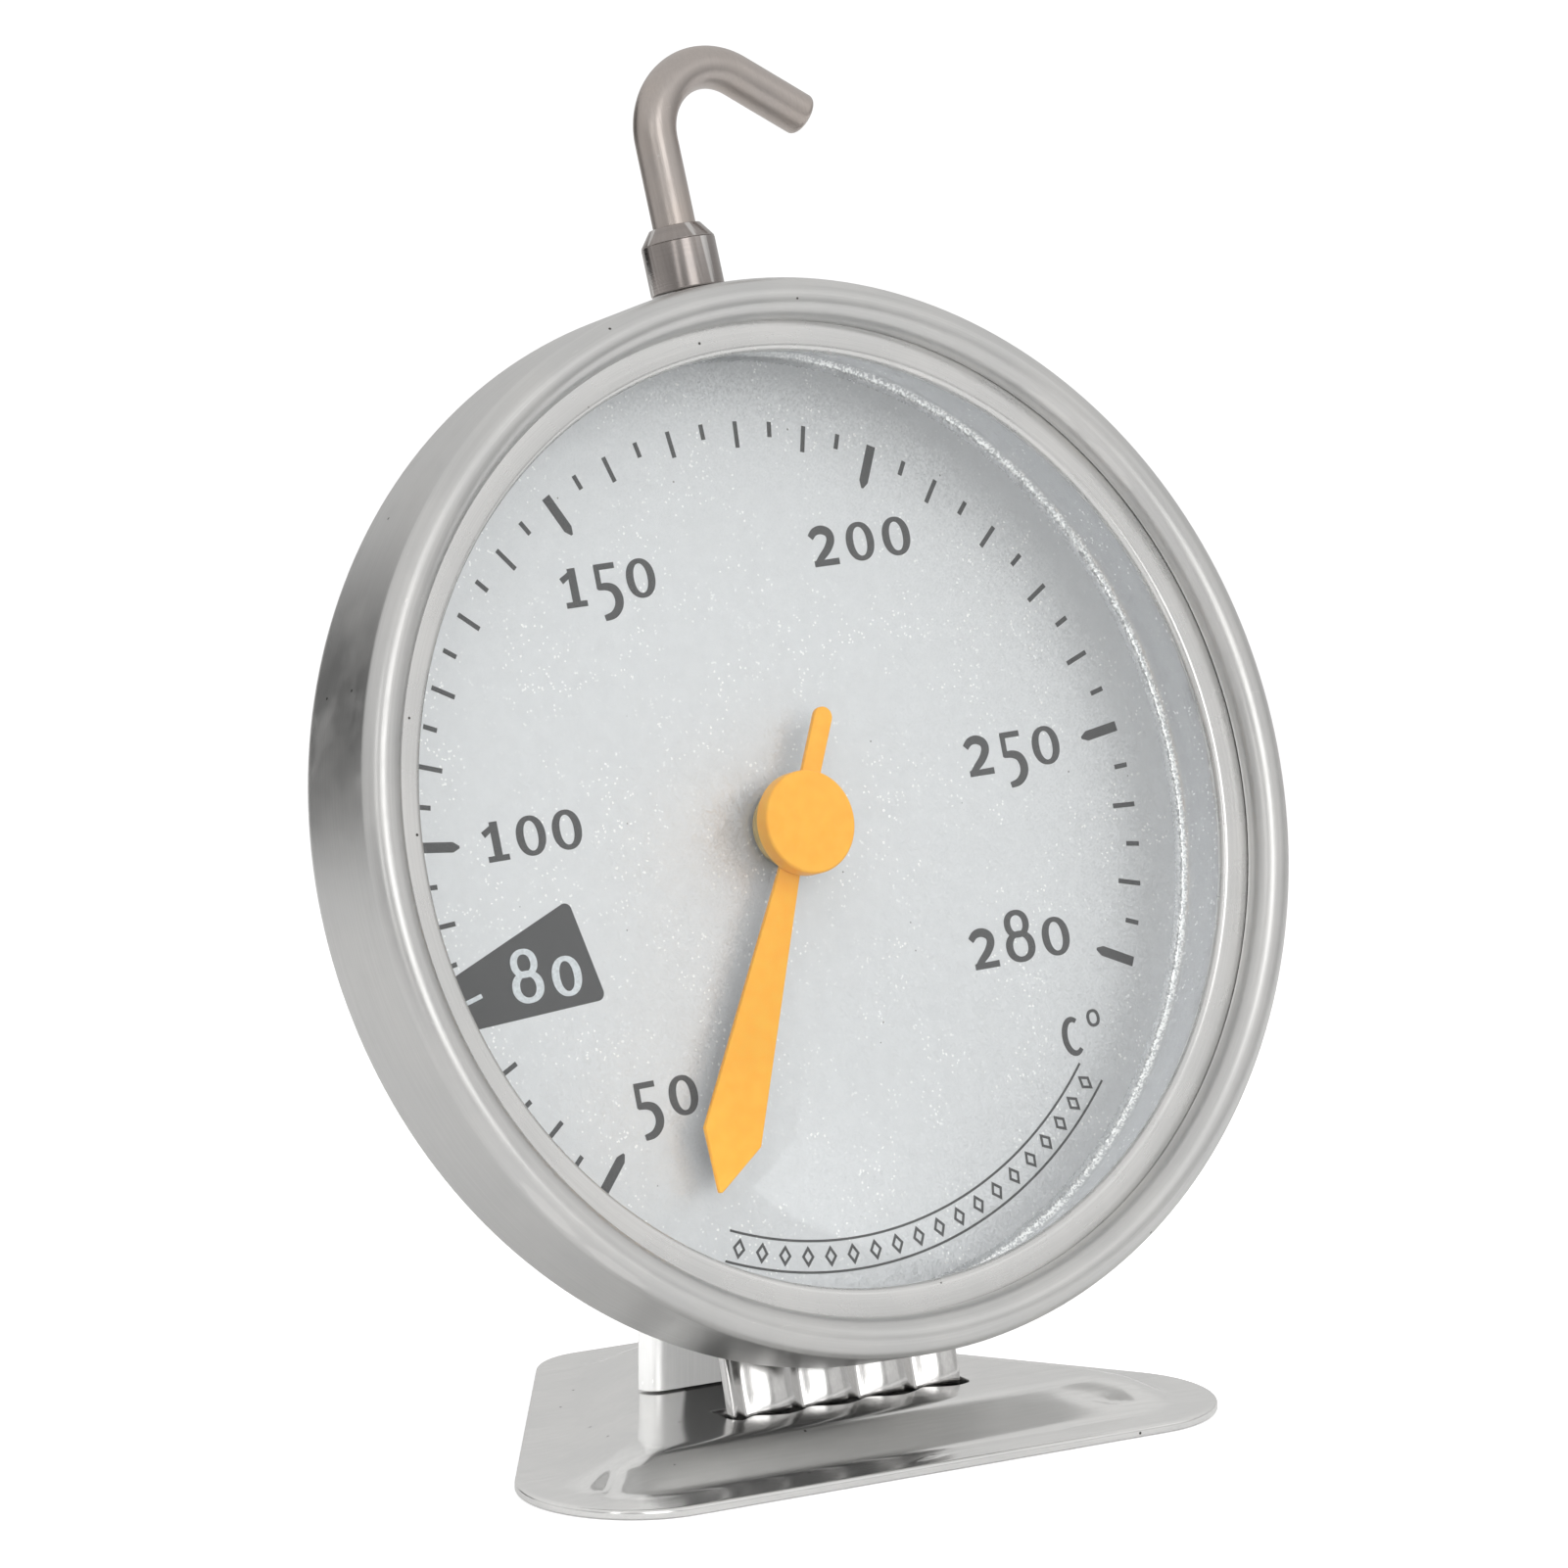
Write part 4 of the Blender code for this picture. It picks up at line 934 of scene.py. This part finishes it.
def add_digit(bm, digit, centre, front):
    for middle, wide, tall, hole_wide, hole_tall in LOOPS.get(digit, ()):
        outer, inner = [scaled(oval(middle, *size, 2.15), X_HEIGHT, centre)
                        for size in ((wide, tall), (hole_wide, hole_tall))]
        add_hoop(bm, outer, inner, INK_REAR, front)
    for points, *widths in STROKES.get(digit, ()):
        path = curve_through(points) if len(points) > 2 else points
        add_mark(bm, scaled(stroke(path, *widths), X_HEIGHT, centre), front)


# Text, middle of its last figure's place along the dial's right and up, and the step between figures.
NUMERALS = (("50", (-10.33, -13.25), 2.45), ("100", (-14.51, 2.68), 2.40), ("150", (-6.43, 16.17), 2.30),
            ("200", (11.43, 16.45), 2.56), ("250", (18.96, 2.96), 2.42), ("280", (16.99, -8.19), 2.58))


def make_numerals():
    for text, (right, up), step in NUMERALS:
        bm = bmesh.new()
        for index, digit in enumerate(text):
            x = right - step * (len(text) - 1 - index)
            add_digit(bm, digit, (x * MM, up * MM), INK_FRONT)
        printed("numeral_" + text, bm, merge=True)
    bm = bmesh.new()
    for index, digit in enumerate(str(MARKED_VALUE)):
        add_digit(bm, digit, ((-19.0 + 2.62 * index) * MM, -5.45 * MM), 2 * INK_FRONT)
    printed("numeral_80", bm, "light_ink", 2 * INK_FRONT, merge=True)


def make_unit_mark():
    bm = bmesh.new()
    opened = [(0.62 * MM * math.cos(math.radians(angle)), MM * math.sin(math.radians(angle)))
              for angle in range(58, 313, 6)]
    letter = stroke(opened, 0.28 * MM, 0.40 * MM, 0.26 * MM)
    add_mark(bm, scaled(letter, 1, (16.85 * MM, -14.15 * MM)))
    degree = (18.46 * MM, -13.30 * MM)
    add_hoop(bm, oval(degree, 0.46 * MM, 0.52 * MM), oval(degree, 0.26 * MM, 0.34 * MM),
             INK_REAR, INK_FRONT)
    printed("unit_mark", bm)


def make_border():
    """Plain ornament along the lower right: two thin arcs with lozenges between them."""
    first, last, count, steps = math.radians(133), math.radians(203), 19, 72
    inner, outer, line = 23.1 * MM, 24.9 * MM, 0.14 * MM
    middle = (inner + outer) / 2
    half_width, half_height = 0.42 * MM, 0.62 * MM
    bm = bmesh.new()
    for radius in (inner, outer):
        path = [polar(first + (last - first) * step / steps, radius) for step in range(steps + 1)]
        add_mark(bm, ribbon(path, [line] * len(path)))
    for index in range(count):
        turn = Matrix.Rotation(-first - (last - first) * (index + 0.5) / count, 2)
        lozenges = []
        for size in (1.0, 0.55):
            corners = [(half_width * size, middle), (0, middle + half_height * size),
                       (-half_width * size, middle), (0, middle - half_height * size)]
            lozenges.append([tuple(turn @ Vector(corner)) for corner in corners])
        add_hoop(bm, *lozenges, INK_REAR, INK_FRONT)
    printed("dial_border", bm)


# ---- hook ----
BEND_HEIGHT = 40.1 * MM         # from the case's axis to where the wire starts to bend
BEND_RADIUS = 3.95 * MM
BEND = math.radians(125)
HOOK_RUN = 5.0 * MM             # straight run after the bend
HOOK_END_ROUND = 0.35 * MM
STEM_HEAD = 1.1 * MM            # radius of the head below the washer
STEM_HEAD_HEIGHT = 0.35 * MM


def hook_line():
    """(x, z, turn, radius) along the wire: stem head, stem, straight, bend, run and rounded end."""
    neck = HOOK_LOW + STEM_HEAD_HEIGHT
    rows = [(0, HOOK_LOW, 0, STEM_HEAD - 0.1 * MM), (0, HOOK_LOW + 0.1 * MM, 0, STEM_HEAD),
            (0, neck, 0, STEM_HEAD), (0, neck, 0, STEM_RADIUS),
            (0, FERRULE_LOW.z, 0, STEM_RADIUS), (0, FERRULE_LOW.z, 0, WIRE_RADIUS)]
    for step in range(1, 14):
        rows.append((0, FERRULE_LOW.z + (BEND_HEIGHT - FERRULE_LOW.z) * step / 14, 0, WIRE_RADIUS))
    for step in range(65):
        turn = BEND * step / 64
        rows.append((BEND_RADIUS * (1 - math.cos(turn)), BEND_HEIGHT + BEND_RADIUS * math.sin(turn),
                     turn, WIRE_RADIUS))
    bend_x, bend_z = rows[-1][:2]
    straight = HOOK_RUN - HOOK_END_ROUND
    ends = [(straight * share, WIRE_RADIUS) for share in (0.3, 0.6, 0.85)]
    for step in range(9):
        turn = math.pi / 2 * step / 8
        ends.append((straight + HOOK_END_ROUND * math.sin(turn),
                     WIRE_RADIUS - HOOK_END_ROUND + HOOK_END_ROUND * math.cos(turn)))
    for length, radius in ends:
        rows.append((bend_x + length * math.sin(BEND), bend_z + length * math.cos(BEND), BEND, radius))
    return rows


def make_hook_wire():
    bm = bmesh.new()
    rings = []
    for x, z, turn, radius in hook_line():
        ring = []
        for index in range(48):
            angle = 2 * math.pi * index / 48
            side = radius * math.cos(angle)
            ring.append(bm.verts.new((x + side * math.cos(turn), radius * math.sin(angle),
                                      z - side * math.sin(turn))))
        rings.append(ring)
    skin_rings(bm, rings)
    finish_mesh("hook_wire_bent", bm, "wire", SWIVEL, body="hook", node="hook_wire")


def make_hook_ferrule():
    """Turned sleeve with a fine groove below its cone."""
    radius, top = FERRULE_HIGH.x, FERRULE_HIGH.z
    bore = WIRE_RADIUS + 0.03 * MM
    shoulder = top - 0.95 * MM
    groove = 0.05 * MM
    edge = 0.12 * MM
    outline = [(bore, FERRULE_LOW.z)]
    outline += fillet([(radius - 4 * edge, FERRULE_LOW.z), (radius, FERRULE_LOW.z),
                       (radius, shoulder - 0.02 * MM), (radius - groove, shoulder),
                       (radius, shoulder + groove), (bore + 0.22 * MM, top), (bore, top)],
                      [edge, 0.02 * MM, 0.01 * MM, 0.03 * MM, 0.08 * MM], 4)
    turned("hook_ferrule_sleeve", outline, "ferrule", SWIVEL @ UPRIGHT, 96, body="hook",
           node="hook_ferrule")


def make_hook_washer():
    low, high = span("hook_washer", SWIVEL)
    outline = chamfered(STEM_RADIUS + STEM_CLEARANCE, high.x, low.z, high.z, 0.1 * MM)
    turned("hook_washer_ring", outline, "rivet", SWIVEL @ UPRIGHT, body="hook", node="hook_washer")


# ---- stand ----
FOOT_FRONT, FOOT_BACK = FOOT_LOW.y, FOOT_HIGH.y
FOOT_HALF_WIDTH = 28.9 * MM     # where the slanted sides would meet the front edge
FOOT_SLANT = math.radians(34.4)
FRONT_CORNER, BACK_CORNER = 6.7 * MM, 4.6 * MM
SLOPE_START, SLOPE_END = 2.7 * MM, 6.2 * MM
PLATFORM_HEIGHT = FOOT_HIGH.z
LEG_X = (LEG_LOW.x + LEG_HIGH.x) / 2
LEG_HALF_WIDTH = (LEG_HIGH.x - LEG_LOW.x) / 2 - 0.1 * MM
LEG_TOP = -6.0 * MM             # up the dial from the case's axis
LEG_FOLD = 4.8 * MM
LEG_TOP_ROUND = 1.0 * MM        # height over which the top end narrows
LEG_TOP_NARROWING = 0.14
FLUTES_END = -27.5 * MM         # they fade out from here up to the next height
FLAT_FROM = -20.5 * MM
FLUTE_PITCH = 3.9 * MM
FLUTE_START = -6.7 * MM
FLUTE_DEPTH = 0.7 * MM
VALLEY_ROUND = 0.26 * MM
SLOT_CLEARANCE = 0.85 * MM      # in front and behind
SLOT_SIDE_CLEARANCE = 0.35 * MM
LEG_DEPTH = -4.35 * MM
STRUT_Y = 0.45 * MM
STRUT_EDGE = 0.9 * MM           # radius of its rolled sides
STRUT_BEND_Z = 13.5 * MM
STRUT_FLANGE = (-16.5 * MM, -8.5 * MM)
STRUT_FOOT_WIDTH = 0.62         # share of the full width at the foot's end
STRUT_TAPER = 4.5 * MM
STRUT_CORNER = 0.7 * MM


def case_point(height, depth):
    """(y, z) in the middle plane: height up the dial, depth in front of it."""
    point = HEAD @ Vector((0, -depth, height))
    return point.y, point.z


def foot_outline(inset, steps=26):
    """Rounded trapezoid, wide in front, moved inwards by the inset, with evenly spread points."""
    front, back = FOOT_FRONT + inset, FOOT_BACK - inset
    slack = inset / math.cos(FOOT_SLANT)
    front_half = FOOT_HALF_WIDTH - inset * math.tan(FOOT_SLANT) - slack
    back_half = FOOT_HALF_WIDTH - (back - FOOT_FRONT) * math.tan(FOOT_SLANT) - slack
    corners = [(-front_half, front), (front_half, front), (back_half, back), (-back_half, back)]
    radii = [max(FRONT_CORNER - inset, 1.6 * MM)] * 2 + [max(BACK_CORNER - inset, 1.1 * MM)] * 2
    rounded = []
    for index, corner in enumerate(corners):
        path = [corners[index - 1], corner, corners[(index + 1) % 4]]
        rounded.append(fillet(path, radii[index], steps)[1:-1])
    outline = []
    for points, following in zip(rounded, rounded[1:] + rounded[:1]):
        start, end = Vector(points[-1]), Vector(following[0])
        outline += points + [tuple(start.lerp(end, step / 60)) for step in range(1, 60)]
    return outline


def dimple(x, y, centre, direction, length, width, depth):
    """Smooth hollow, long in one direction."""
    away = Vector((x, y)) - Vector(centre)
    along = away.dot(Vector(direction).normalized())
    across = away.cross(Vector(direction).normalized())
    reach = (along / length) ** 2 + (across / width) ** 2
    return depth * math.exp(-2.2 * reach)


DIMPLES = (
    # centre, direction, length, width, depth
    ((14.8 * MM, -12.0 * MM), (1, -0.42), 2.6 * MM, 0.85 * MM, 0.30 * MM),
    ((-19.1 * MM, -11.2 * MM), (0.83, 0.56), 2.0 * MM, 0.75 * MM, 0.42 * MM),
    ((0.2 * MM, -15.2 * MM), (0.97, 0.24), 1.9 * MM, 0.20 * MM, -0.16 * MM),
    ((-4.3 * MM, 12.3 * MM), (0.5, -0.85), 1.2 * MM, 0.35 * MM, 0.16 * MM),
    ((4.3 * MM, 12.3 * MM), (-0.5, -0.85), 1.2 * MM, 0.35 * MM, 0.12 * MM),
)


def soft_ramp(value, start, end, rounding):
    """Rises evenly from 0 to 1, with rounded corners at both ends."""
    share = (value - start) / (end - start)
    if share < rounding:
        return max(share + rounding, 0) ** 2 / (4 * rounding)
    if share > 1 - rounding:
        return 1 - max(1 + rounding - share, 0) ** 2 / (4 * rounding)
    return share


def foot_height(x, y, inset):
    """Upper surface: flat rim, even slope, flat platform, and the dents left by the press."""
    rise = soft_ramp(inset, SLOPE_START, SLOPE_END, 0.14)
    height = STAND_SHEET + (PLATFORM_HEIGHT - STAND_SHEET) * rise
    for shape in DIMPLES:
        height -= dimple(x, y, *shape) * smoothstep(inset, 0.4 * MM, 1.2 * MM)
    return min(max(height, STAND_SHEET), PLATFORM_HEIGHT)


def make_base_plate():
    edge = 0.22 * MM
    insets = [edge * (1 - math.cos(math.pi / 2 * step / 5)) for step in range(1, 6)]
    insets += [step * 0.2 * MM for step in range(2, 38)]
    bm = bmesh.new()
    under, upper = [], []
    for inset in insets:
        lift = STAND_SHEET / 2 - edge + math.sqrt(max(edge ** 2 - max(edge - inset, 0) ** 2, 0))
        down = STAND_SHEET / 2 - lift
        low_ring, high_ring = [], []
        for x, y in foot_outline(inset):
            top = foot_height(x, y, inset)
            high_ring.append(bm.verts.new((x, y, top - down)))
            low_ring.append(bm.verts.new((x, y, top - STAND_SHEET + down)))
        under.append(low_ring)
        upper.append(high_ring)
    skin_rings(bm, under[::-1] + upper)
    plate = finish_mesh("base_plate_pressed", bm, "foot", node="base_plate")
    combine(plate, make_slot_cutter())
    soften(plate, 0.24 * MM, 4, 60)
    apply_modifiers(plate)


def flute_line(samples=96):
    """(x, how far the fluted sheet stands forward) across the leg."""
    line = []
    for index in range(samples + 1):
        across = LEG_HALF_WIDTH * (2 * index / samples - 1)
        within = (across - FLUTE_START) / FLUTE_PITCH % 1
        from_valley = min(within, 1 - within) * FLUTE_PITCH
        rounded = math.hypot(from_valley, VALLEY_ROUND) - VALLEY_ROUND
        line.append((LEG_X + across, FLUTE_DEPTH * (1 - (1 - 2 * rounded / FLUTE_PITCH) ** 2)))
    return line


def make_slot_cutter():
    middle_y, middle_z = case_point(0, LEG_DEPTH)
    y = middle_y + (PLATFORM_HEIGHT - middle_z) * math.tan(LEAN)
    reach = STAND_SHEET / 2 + SLOT_CLEARANCE
    left = LEG_X - LEG_HALF_WIDTH - SLOT_SIDE_CLEARANCE
    right = LEG_X + LEG_HALF_WIDTH + SLOT_SIDE_CLEARANCE
    outline = [(right, y + reach), (left, y + reach), (left, y - reach)]
    outline += [(x, y - reach - bulge) for x, bulge in flute_line(64)]
    outline.append((right, y - reach))
    bm = bmesh.new()
    low = [bm.verts.new((a, b, 0.3 * MM)) for a, b in outline]
    high = [bm.verts.new((a, b, 2 * PLATFORM_HEIGHT)) for a, b in outline]
    skin_rings(bm, [low, high])
    return finish_mesh("slot_cutter", bm)


def formed_strip(name, rows, section, look=None, node=None, thickness=STAND_SHEET):
    """Sheet strip that follows a bent path in the YZ plane.

    rows: (y, z, width factor, bulge factor); section: (x, bulge) across the strip.
    """
    bm = bmesh.new()
    rings = []
    for index, (y, z, width, bulge) in enumerate(rows):
        start = Vector(rows[max(index - 1, 0)][:2])
        end = Vector(rows[min(index + 1, len(rows) - 1)][:2])
        along = (end - start).normalized()
        across = [((x - LEG_X) * width + LEG_X, rise * bulge) for x, rise in section]
        ring = []
        for x, out in sheet_outline(across, thickness, trim=2):
            ring.append(bm.verts.new((x, y - along.y * out, z + along.x * out)))
        rings.append(ring)
    skin_rings(bm, rings)
    return finish_mesh(name, bm, look, node=node)


def make_front_leg():
    """Fluted strip that leans with the case, passes the slot and is folded back under the plate."""
    foot_z = LEG_LOW.z + STAND_SHEET / 2
    low_height = (foot_z - case_point(0, LEG_DEPTH)[1]) / math.cos(LEAN)
    low = case_point(low_height, LEG_DEPTH)
    bend = fillet([(low[0] + LEG_FOLD, foot_z), low, case_point(LEG_TOP, LEG_DEPTH)],
                  1.2 * STAND_SHEET, 12)[:-1]
    rows = [(y, z, 1, smoothstep(z, foot_z, foot_z + 2 * STAND_SHEET)) for y, z in bend]
    lowest = low_height + 2 * STAND_SHEET
    corner = LEG_TOP - LEG_TOP_ROUND
    heights = [lowest + (corner - lowest) * index / 60 for index in range(1, 61)]
    heights += [corner + (LEG_TOP - corner) * math.sin(math.pi / 2 * step / 8) for step in range(1, 9)]
    for height in heights:
        place = min(max((height - corner) / (LEG_TOP - corner), 0), 1)
        width = 1 - LEG_TOP_NARROWING * (1 - math.sqrt(1 - place ** 2))
        rows.append((*case_point(height, LEG_DEPTH), width,
                     1 - smoothstep(height, FLUTES_END, FLAT_FROM)))
    formed_strip("front_leg_fluted", rows, flute_line(), "leg", "front_leg")


def make_rear_strut():
    """Upright with rolled side edges and two narrower folded ends, below and behind the leg."""
    foot_z = PLATFORM_HEIGHT + STAND_SHEET / 2 + 0.03 * MM
    flange_depth = LEG_DEPTH - STAND_SHEET - 0.25 * MM
    bend_radius = 1.5 * STAND_SHEET
    half_width = STRUT_HIGH.x - STRUT_EDGE - STAND_SHEET / 2
    foot_end = STRUT_HIGH.y

    # The upright with its rolled edges, cut square just above the plate and below the upper fold.
    low_z, high_z = PLATFORM_HEIGHT + 0.12 * MM, STRUT_BEND_Z - 1.2 * bend_radius
    rows = [(STRUT_Y, low_z + (high_z - low_z) * step / 20, 1, 1) for step in range(21)]
    edge = arc((half_width, -STRUT_EDGE), STRUT_EDGE, 90, 0, 16)
    flat = [(half_width * (2 * step / 16 - 1), 0) for step in range(1, 16)]
    section = [(-x, rise) for x, rise in edge[::-1]] + flat + edge
    upright = formed_strip("rear_strut_bent", rows, section, "strut", "rear_strut")

    # The folded sheet that runs through it, a little thinner so that it stays inside the upright.
    flange = [case_point(height, flange_depth) for height in STRUT_FLANGE]
    path = fillet([(foot_end, foot_z), (STRUT_Y, foot_z), (STRUT_Y, STRUT_BEND_Z), *flange],
                  bend_radius, 12)
    rows = []
    for start, end in zip(path, path[1:] + path[-1:]):
        pieces = max(1, int((Vector(end) - Vector(start)).length / (0.35 * MM)))
        for step in range(pieces):
            y, z = Vector(start).lerp(Vector(end), step / pieces)
            width = 1.0
            if z < foot_z + 0.1 * MM:
                corner = smoothstep(foot_end - y, 0, STRUT_CORNER)
                taper = min(1, (foot_end - y) / STRUT_TAPER)
                width = STRUT_FOOT_WIDTH + (1 - STRUT_FOOT_WIDTH) * taper - 0.10 * (1 - corner) ** 2
            rows.append((y, z, width, 0))
    fold_half = 0.93 * (half_width + STRUT_EDGE)
    fold_section = [(fold_half * (2 * step / 16 - 1), 0) for step in range(17)]
    fold = formed_strip("rear_strut_fold", rows, fold_section, thickness=STAND_SHEET - 0.08 * MM)
    combine(upright, fold, "UNION")
    apply_modifiers(upright)


def make_rivets():
    """Round-headed rivets: domed heads behind the case and on the plate, upset tails on the other side."""
    shank, head = 0.8 * MM, 0.5 * MM
    from_behind = HEAD @ Matrix.Rotation(math.pi, 4, "Z")
    for node, matrix in (("stand_rivet_left", from_behind), ("stand_rivet_right", from_behind),
                         ("foot_rivet_left", UPRIGHT), ("foot_rivet_right", UPRIGHT)):
        low, high = span(node, matrix)
        dome, tail = depths(node, matrix)
        radius = (high.x - low.x) / 2
        upset = 0.9 * radius
        outline = [(0, tail)]
        outline += fillet([(0.5 * radius, tail), (upset, tail), (upset, tail + head)], 0.15 * MM, 4)
        outline += [(shank, tail + head), (shank, dome - head), (radius, dome - head)]
        for step in range(1, 12):
            turn = math.pi / 2 * step / 12
            outline.append((radius * math.cos(turn), dome - head + head * math.sin(turn)))
        outline.append((0, dome))
        place = matrix @ Matrix.Translation(((low.x + high.x) / 2, 0, (low.z + high.z) / 2))
        turned(node + "_domed", outline, "rivet", place, node=node)


# ---- floor, light and camera ----
PAPER_WHITE = 1.05
# Softboxes in front of the object: bearings from straight ahead in degrees, and power. The camera stands at
# -33; a bright one is to its right, a narrow one to its left, a weak wide one on the far right.
SOFTBOXES = ((-21, 3, 1.7), (-53, -47, 1.4), (16, 62, 0.24))


def make_stage():
    bm = bmesh.new()
    bmesh.ops.create_circle(bm, cap_ends=True, segments=96, radius=0.30)
    floor = finish_mesh("floor", bm, matrix=Matrix.Translation((0, 0, -0.02 * MM)))
    s = new_material("pale_floor")
    base = s.blend(s.fit(s.noise(s.place, 4.0), 0.3, 0.7), (0.77, 0.77, 0.77), (0.80, 0.80, 0.80))
    seen = s.node("LightPath").outputs["Is Camera Ray"]
    paint = s.node("BsdfPrincipled", {"Base Color": base, "Roughness": 0.7, "Emission Color": (1, 1, 1, 1),
                                      "Emission Strength": s.times(seen, 0.55)})
    paper = s.node("Emission", {"Strength": PAPER_WHITE})
    away = s.node("VectorMath", {0: s.place}, operation="LENGTH").outputs["Value"]
    far = s.times(seen, s.fit(away, 0.06, 0.20))
    floor.data.materials.append(s.finish(s.mix(far, paint, paper)))


def make_world():
    """White to the camera; to the steel, a pale studio with softboxes and a darker band low behind."""
    world = bpy.data.worlds.new("studio")
    bpy.context.scene.world = world
    s = Nodes(world, "OutputWorld", "Generated")
    right, back, height = s.x, s.y, s.z
    low_tone = s.fit(back, -0.6, 0.4, 0.46, 0.66)
    sky = s.fit(height, 0.12, 0.60)
    pale = s.node("Mix", {0: sky, 2: low_tone, 3: 0.82}, data_type="FLOAT").outputs[0]
    bearing = s.math("ARCTAN2", right, back)
    dark = s.times(s.window(bearing, math.radians(-31), math.radians(-12), 0.24),
                   s.window(height, -0.16, 0.20, 0.12))
    strength = s.times(pale, s.fit(dark, 0.0, 1.0, 1.0, 0.03))
    front_bearing = s.math("ARCTAN2", right, s.times(back, -1.0))
    for left_side, right_side, power in SOFTBOXES:
        softbox = s.times(s.window(front_bearing, math.radians(left_side), math.radians(right_side), 0.04),
                          s.window(height, 0.05, 0.60, 0.05))
        strength = s.math("ADD", strength, s.times(softbox, power))
    studio = s.node("Background", {"Color": (1, 0.995, 0.985, 1), "Strength": strength})
    paper = s.node("Background", {"Color": (1, 1, 1, 1), "Strength": PAPER_WHITE})
    s.finish(s.mix(s.node("LightPath").outputs["Is Camera Ray"], studio, paper))


def make_light(name, kind, place, aim, power, **settings):
    """A lamp that lights the object without being mirrored in the steel."""
    data = bpy.data.lights.new(name, kind)
    data.energy = power
    for key, value in settings.items():
        setattr(data, key, value)
    light = link(name, data)
    light.location = place
    light.rotation_euler = (Vector(aim) - Vector(place)).to_track_quat("-Z", "Y").to_euler()
    light.visible_glossy = False


def make_lights():
    """Two soft panels, and a narrow beam that lifts the shaded gap between case and foot."""
    make_light("key", "AREA", (0.46, -0.33, 0.38), (0, 0, 0.035), 0.95, shape="RECTANGLE", size=0.32,
               size_y=0.32)
    make_light("top", "AREA", (-0.10, -0.10, 0.60), (0, 0, 0.035), 0.8, shape="RECTANGLE", size=0.40,
               size_y=0.40)
    make_light("low_beam", "SPOT", (-0.30, -0.15, 0.03), (-0.004, 0, 0.006), 9.5,
               spot_size=math.radians(3.2), spot_blend=0.6, shadow_soft_size=0.01)


CAMERA_PLACE = (-0.23707, -0.35941, 0.11303)
CAMERA_DOWN = math.radians(10)
CAMERA_BEARING = math.radians(-33.45)
FOCAL_LENGTH = 174.8            # millimetres, on the 36 mm sensor


def make_camera():
    data = bpy.data.cameras.new("camera")
    data.lens = FOCAL_LENGTH
    data.sensor_width = 36
    data.clip_start = 0.01
    camera = link("camera", data)
    camera.location = CAMERA_PLACE
    camera.rotation_euler = (math.pi / 2 - CAMERA_DOWN, 0, CAMERA_BEARING)
    bpy.context.scene.camera = camera


make_bezel_ring()
make_lens_ring()
make_lens()
make_dial_plate()
make_rear_cup()
make_front_bush()
make_rear_bush()
make_coil_post()
make_coil_collet()
make_arbor()
make_bimetal_coil()
make_pointer_blade()
make_pointer_cap()
make_ticks()
make_wedge()
make_numerals()
make_unit_mark()
make_border()
make_hook_wire()
make_hook_ferrule()
make_hook_washer()
make_base_plate()
make_front_leg()
make_rear_strut()
make_rivets()
make_stage()
make_world()
make_lights()
make_camera()
bpy.context.scene.view_settings.view_transform = "Standard"
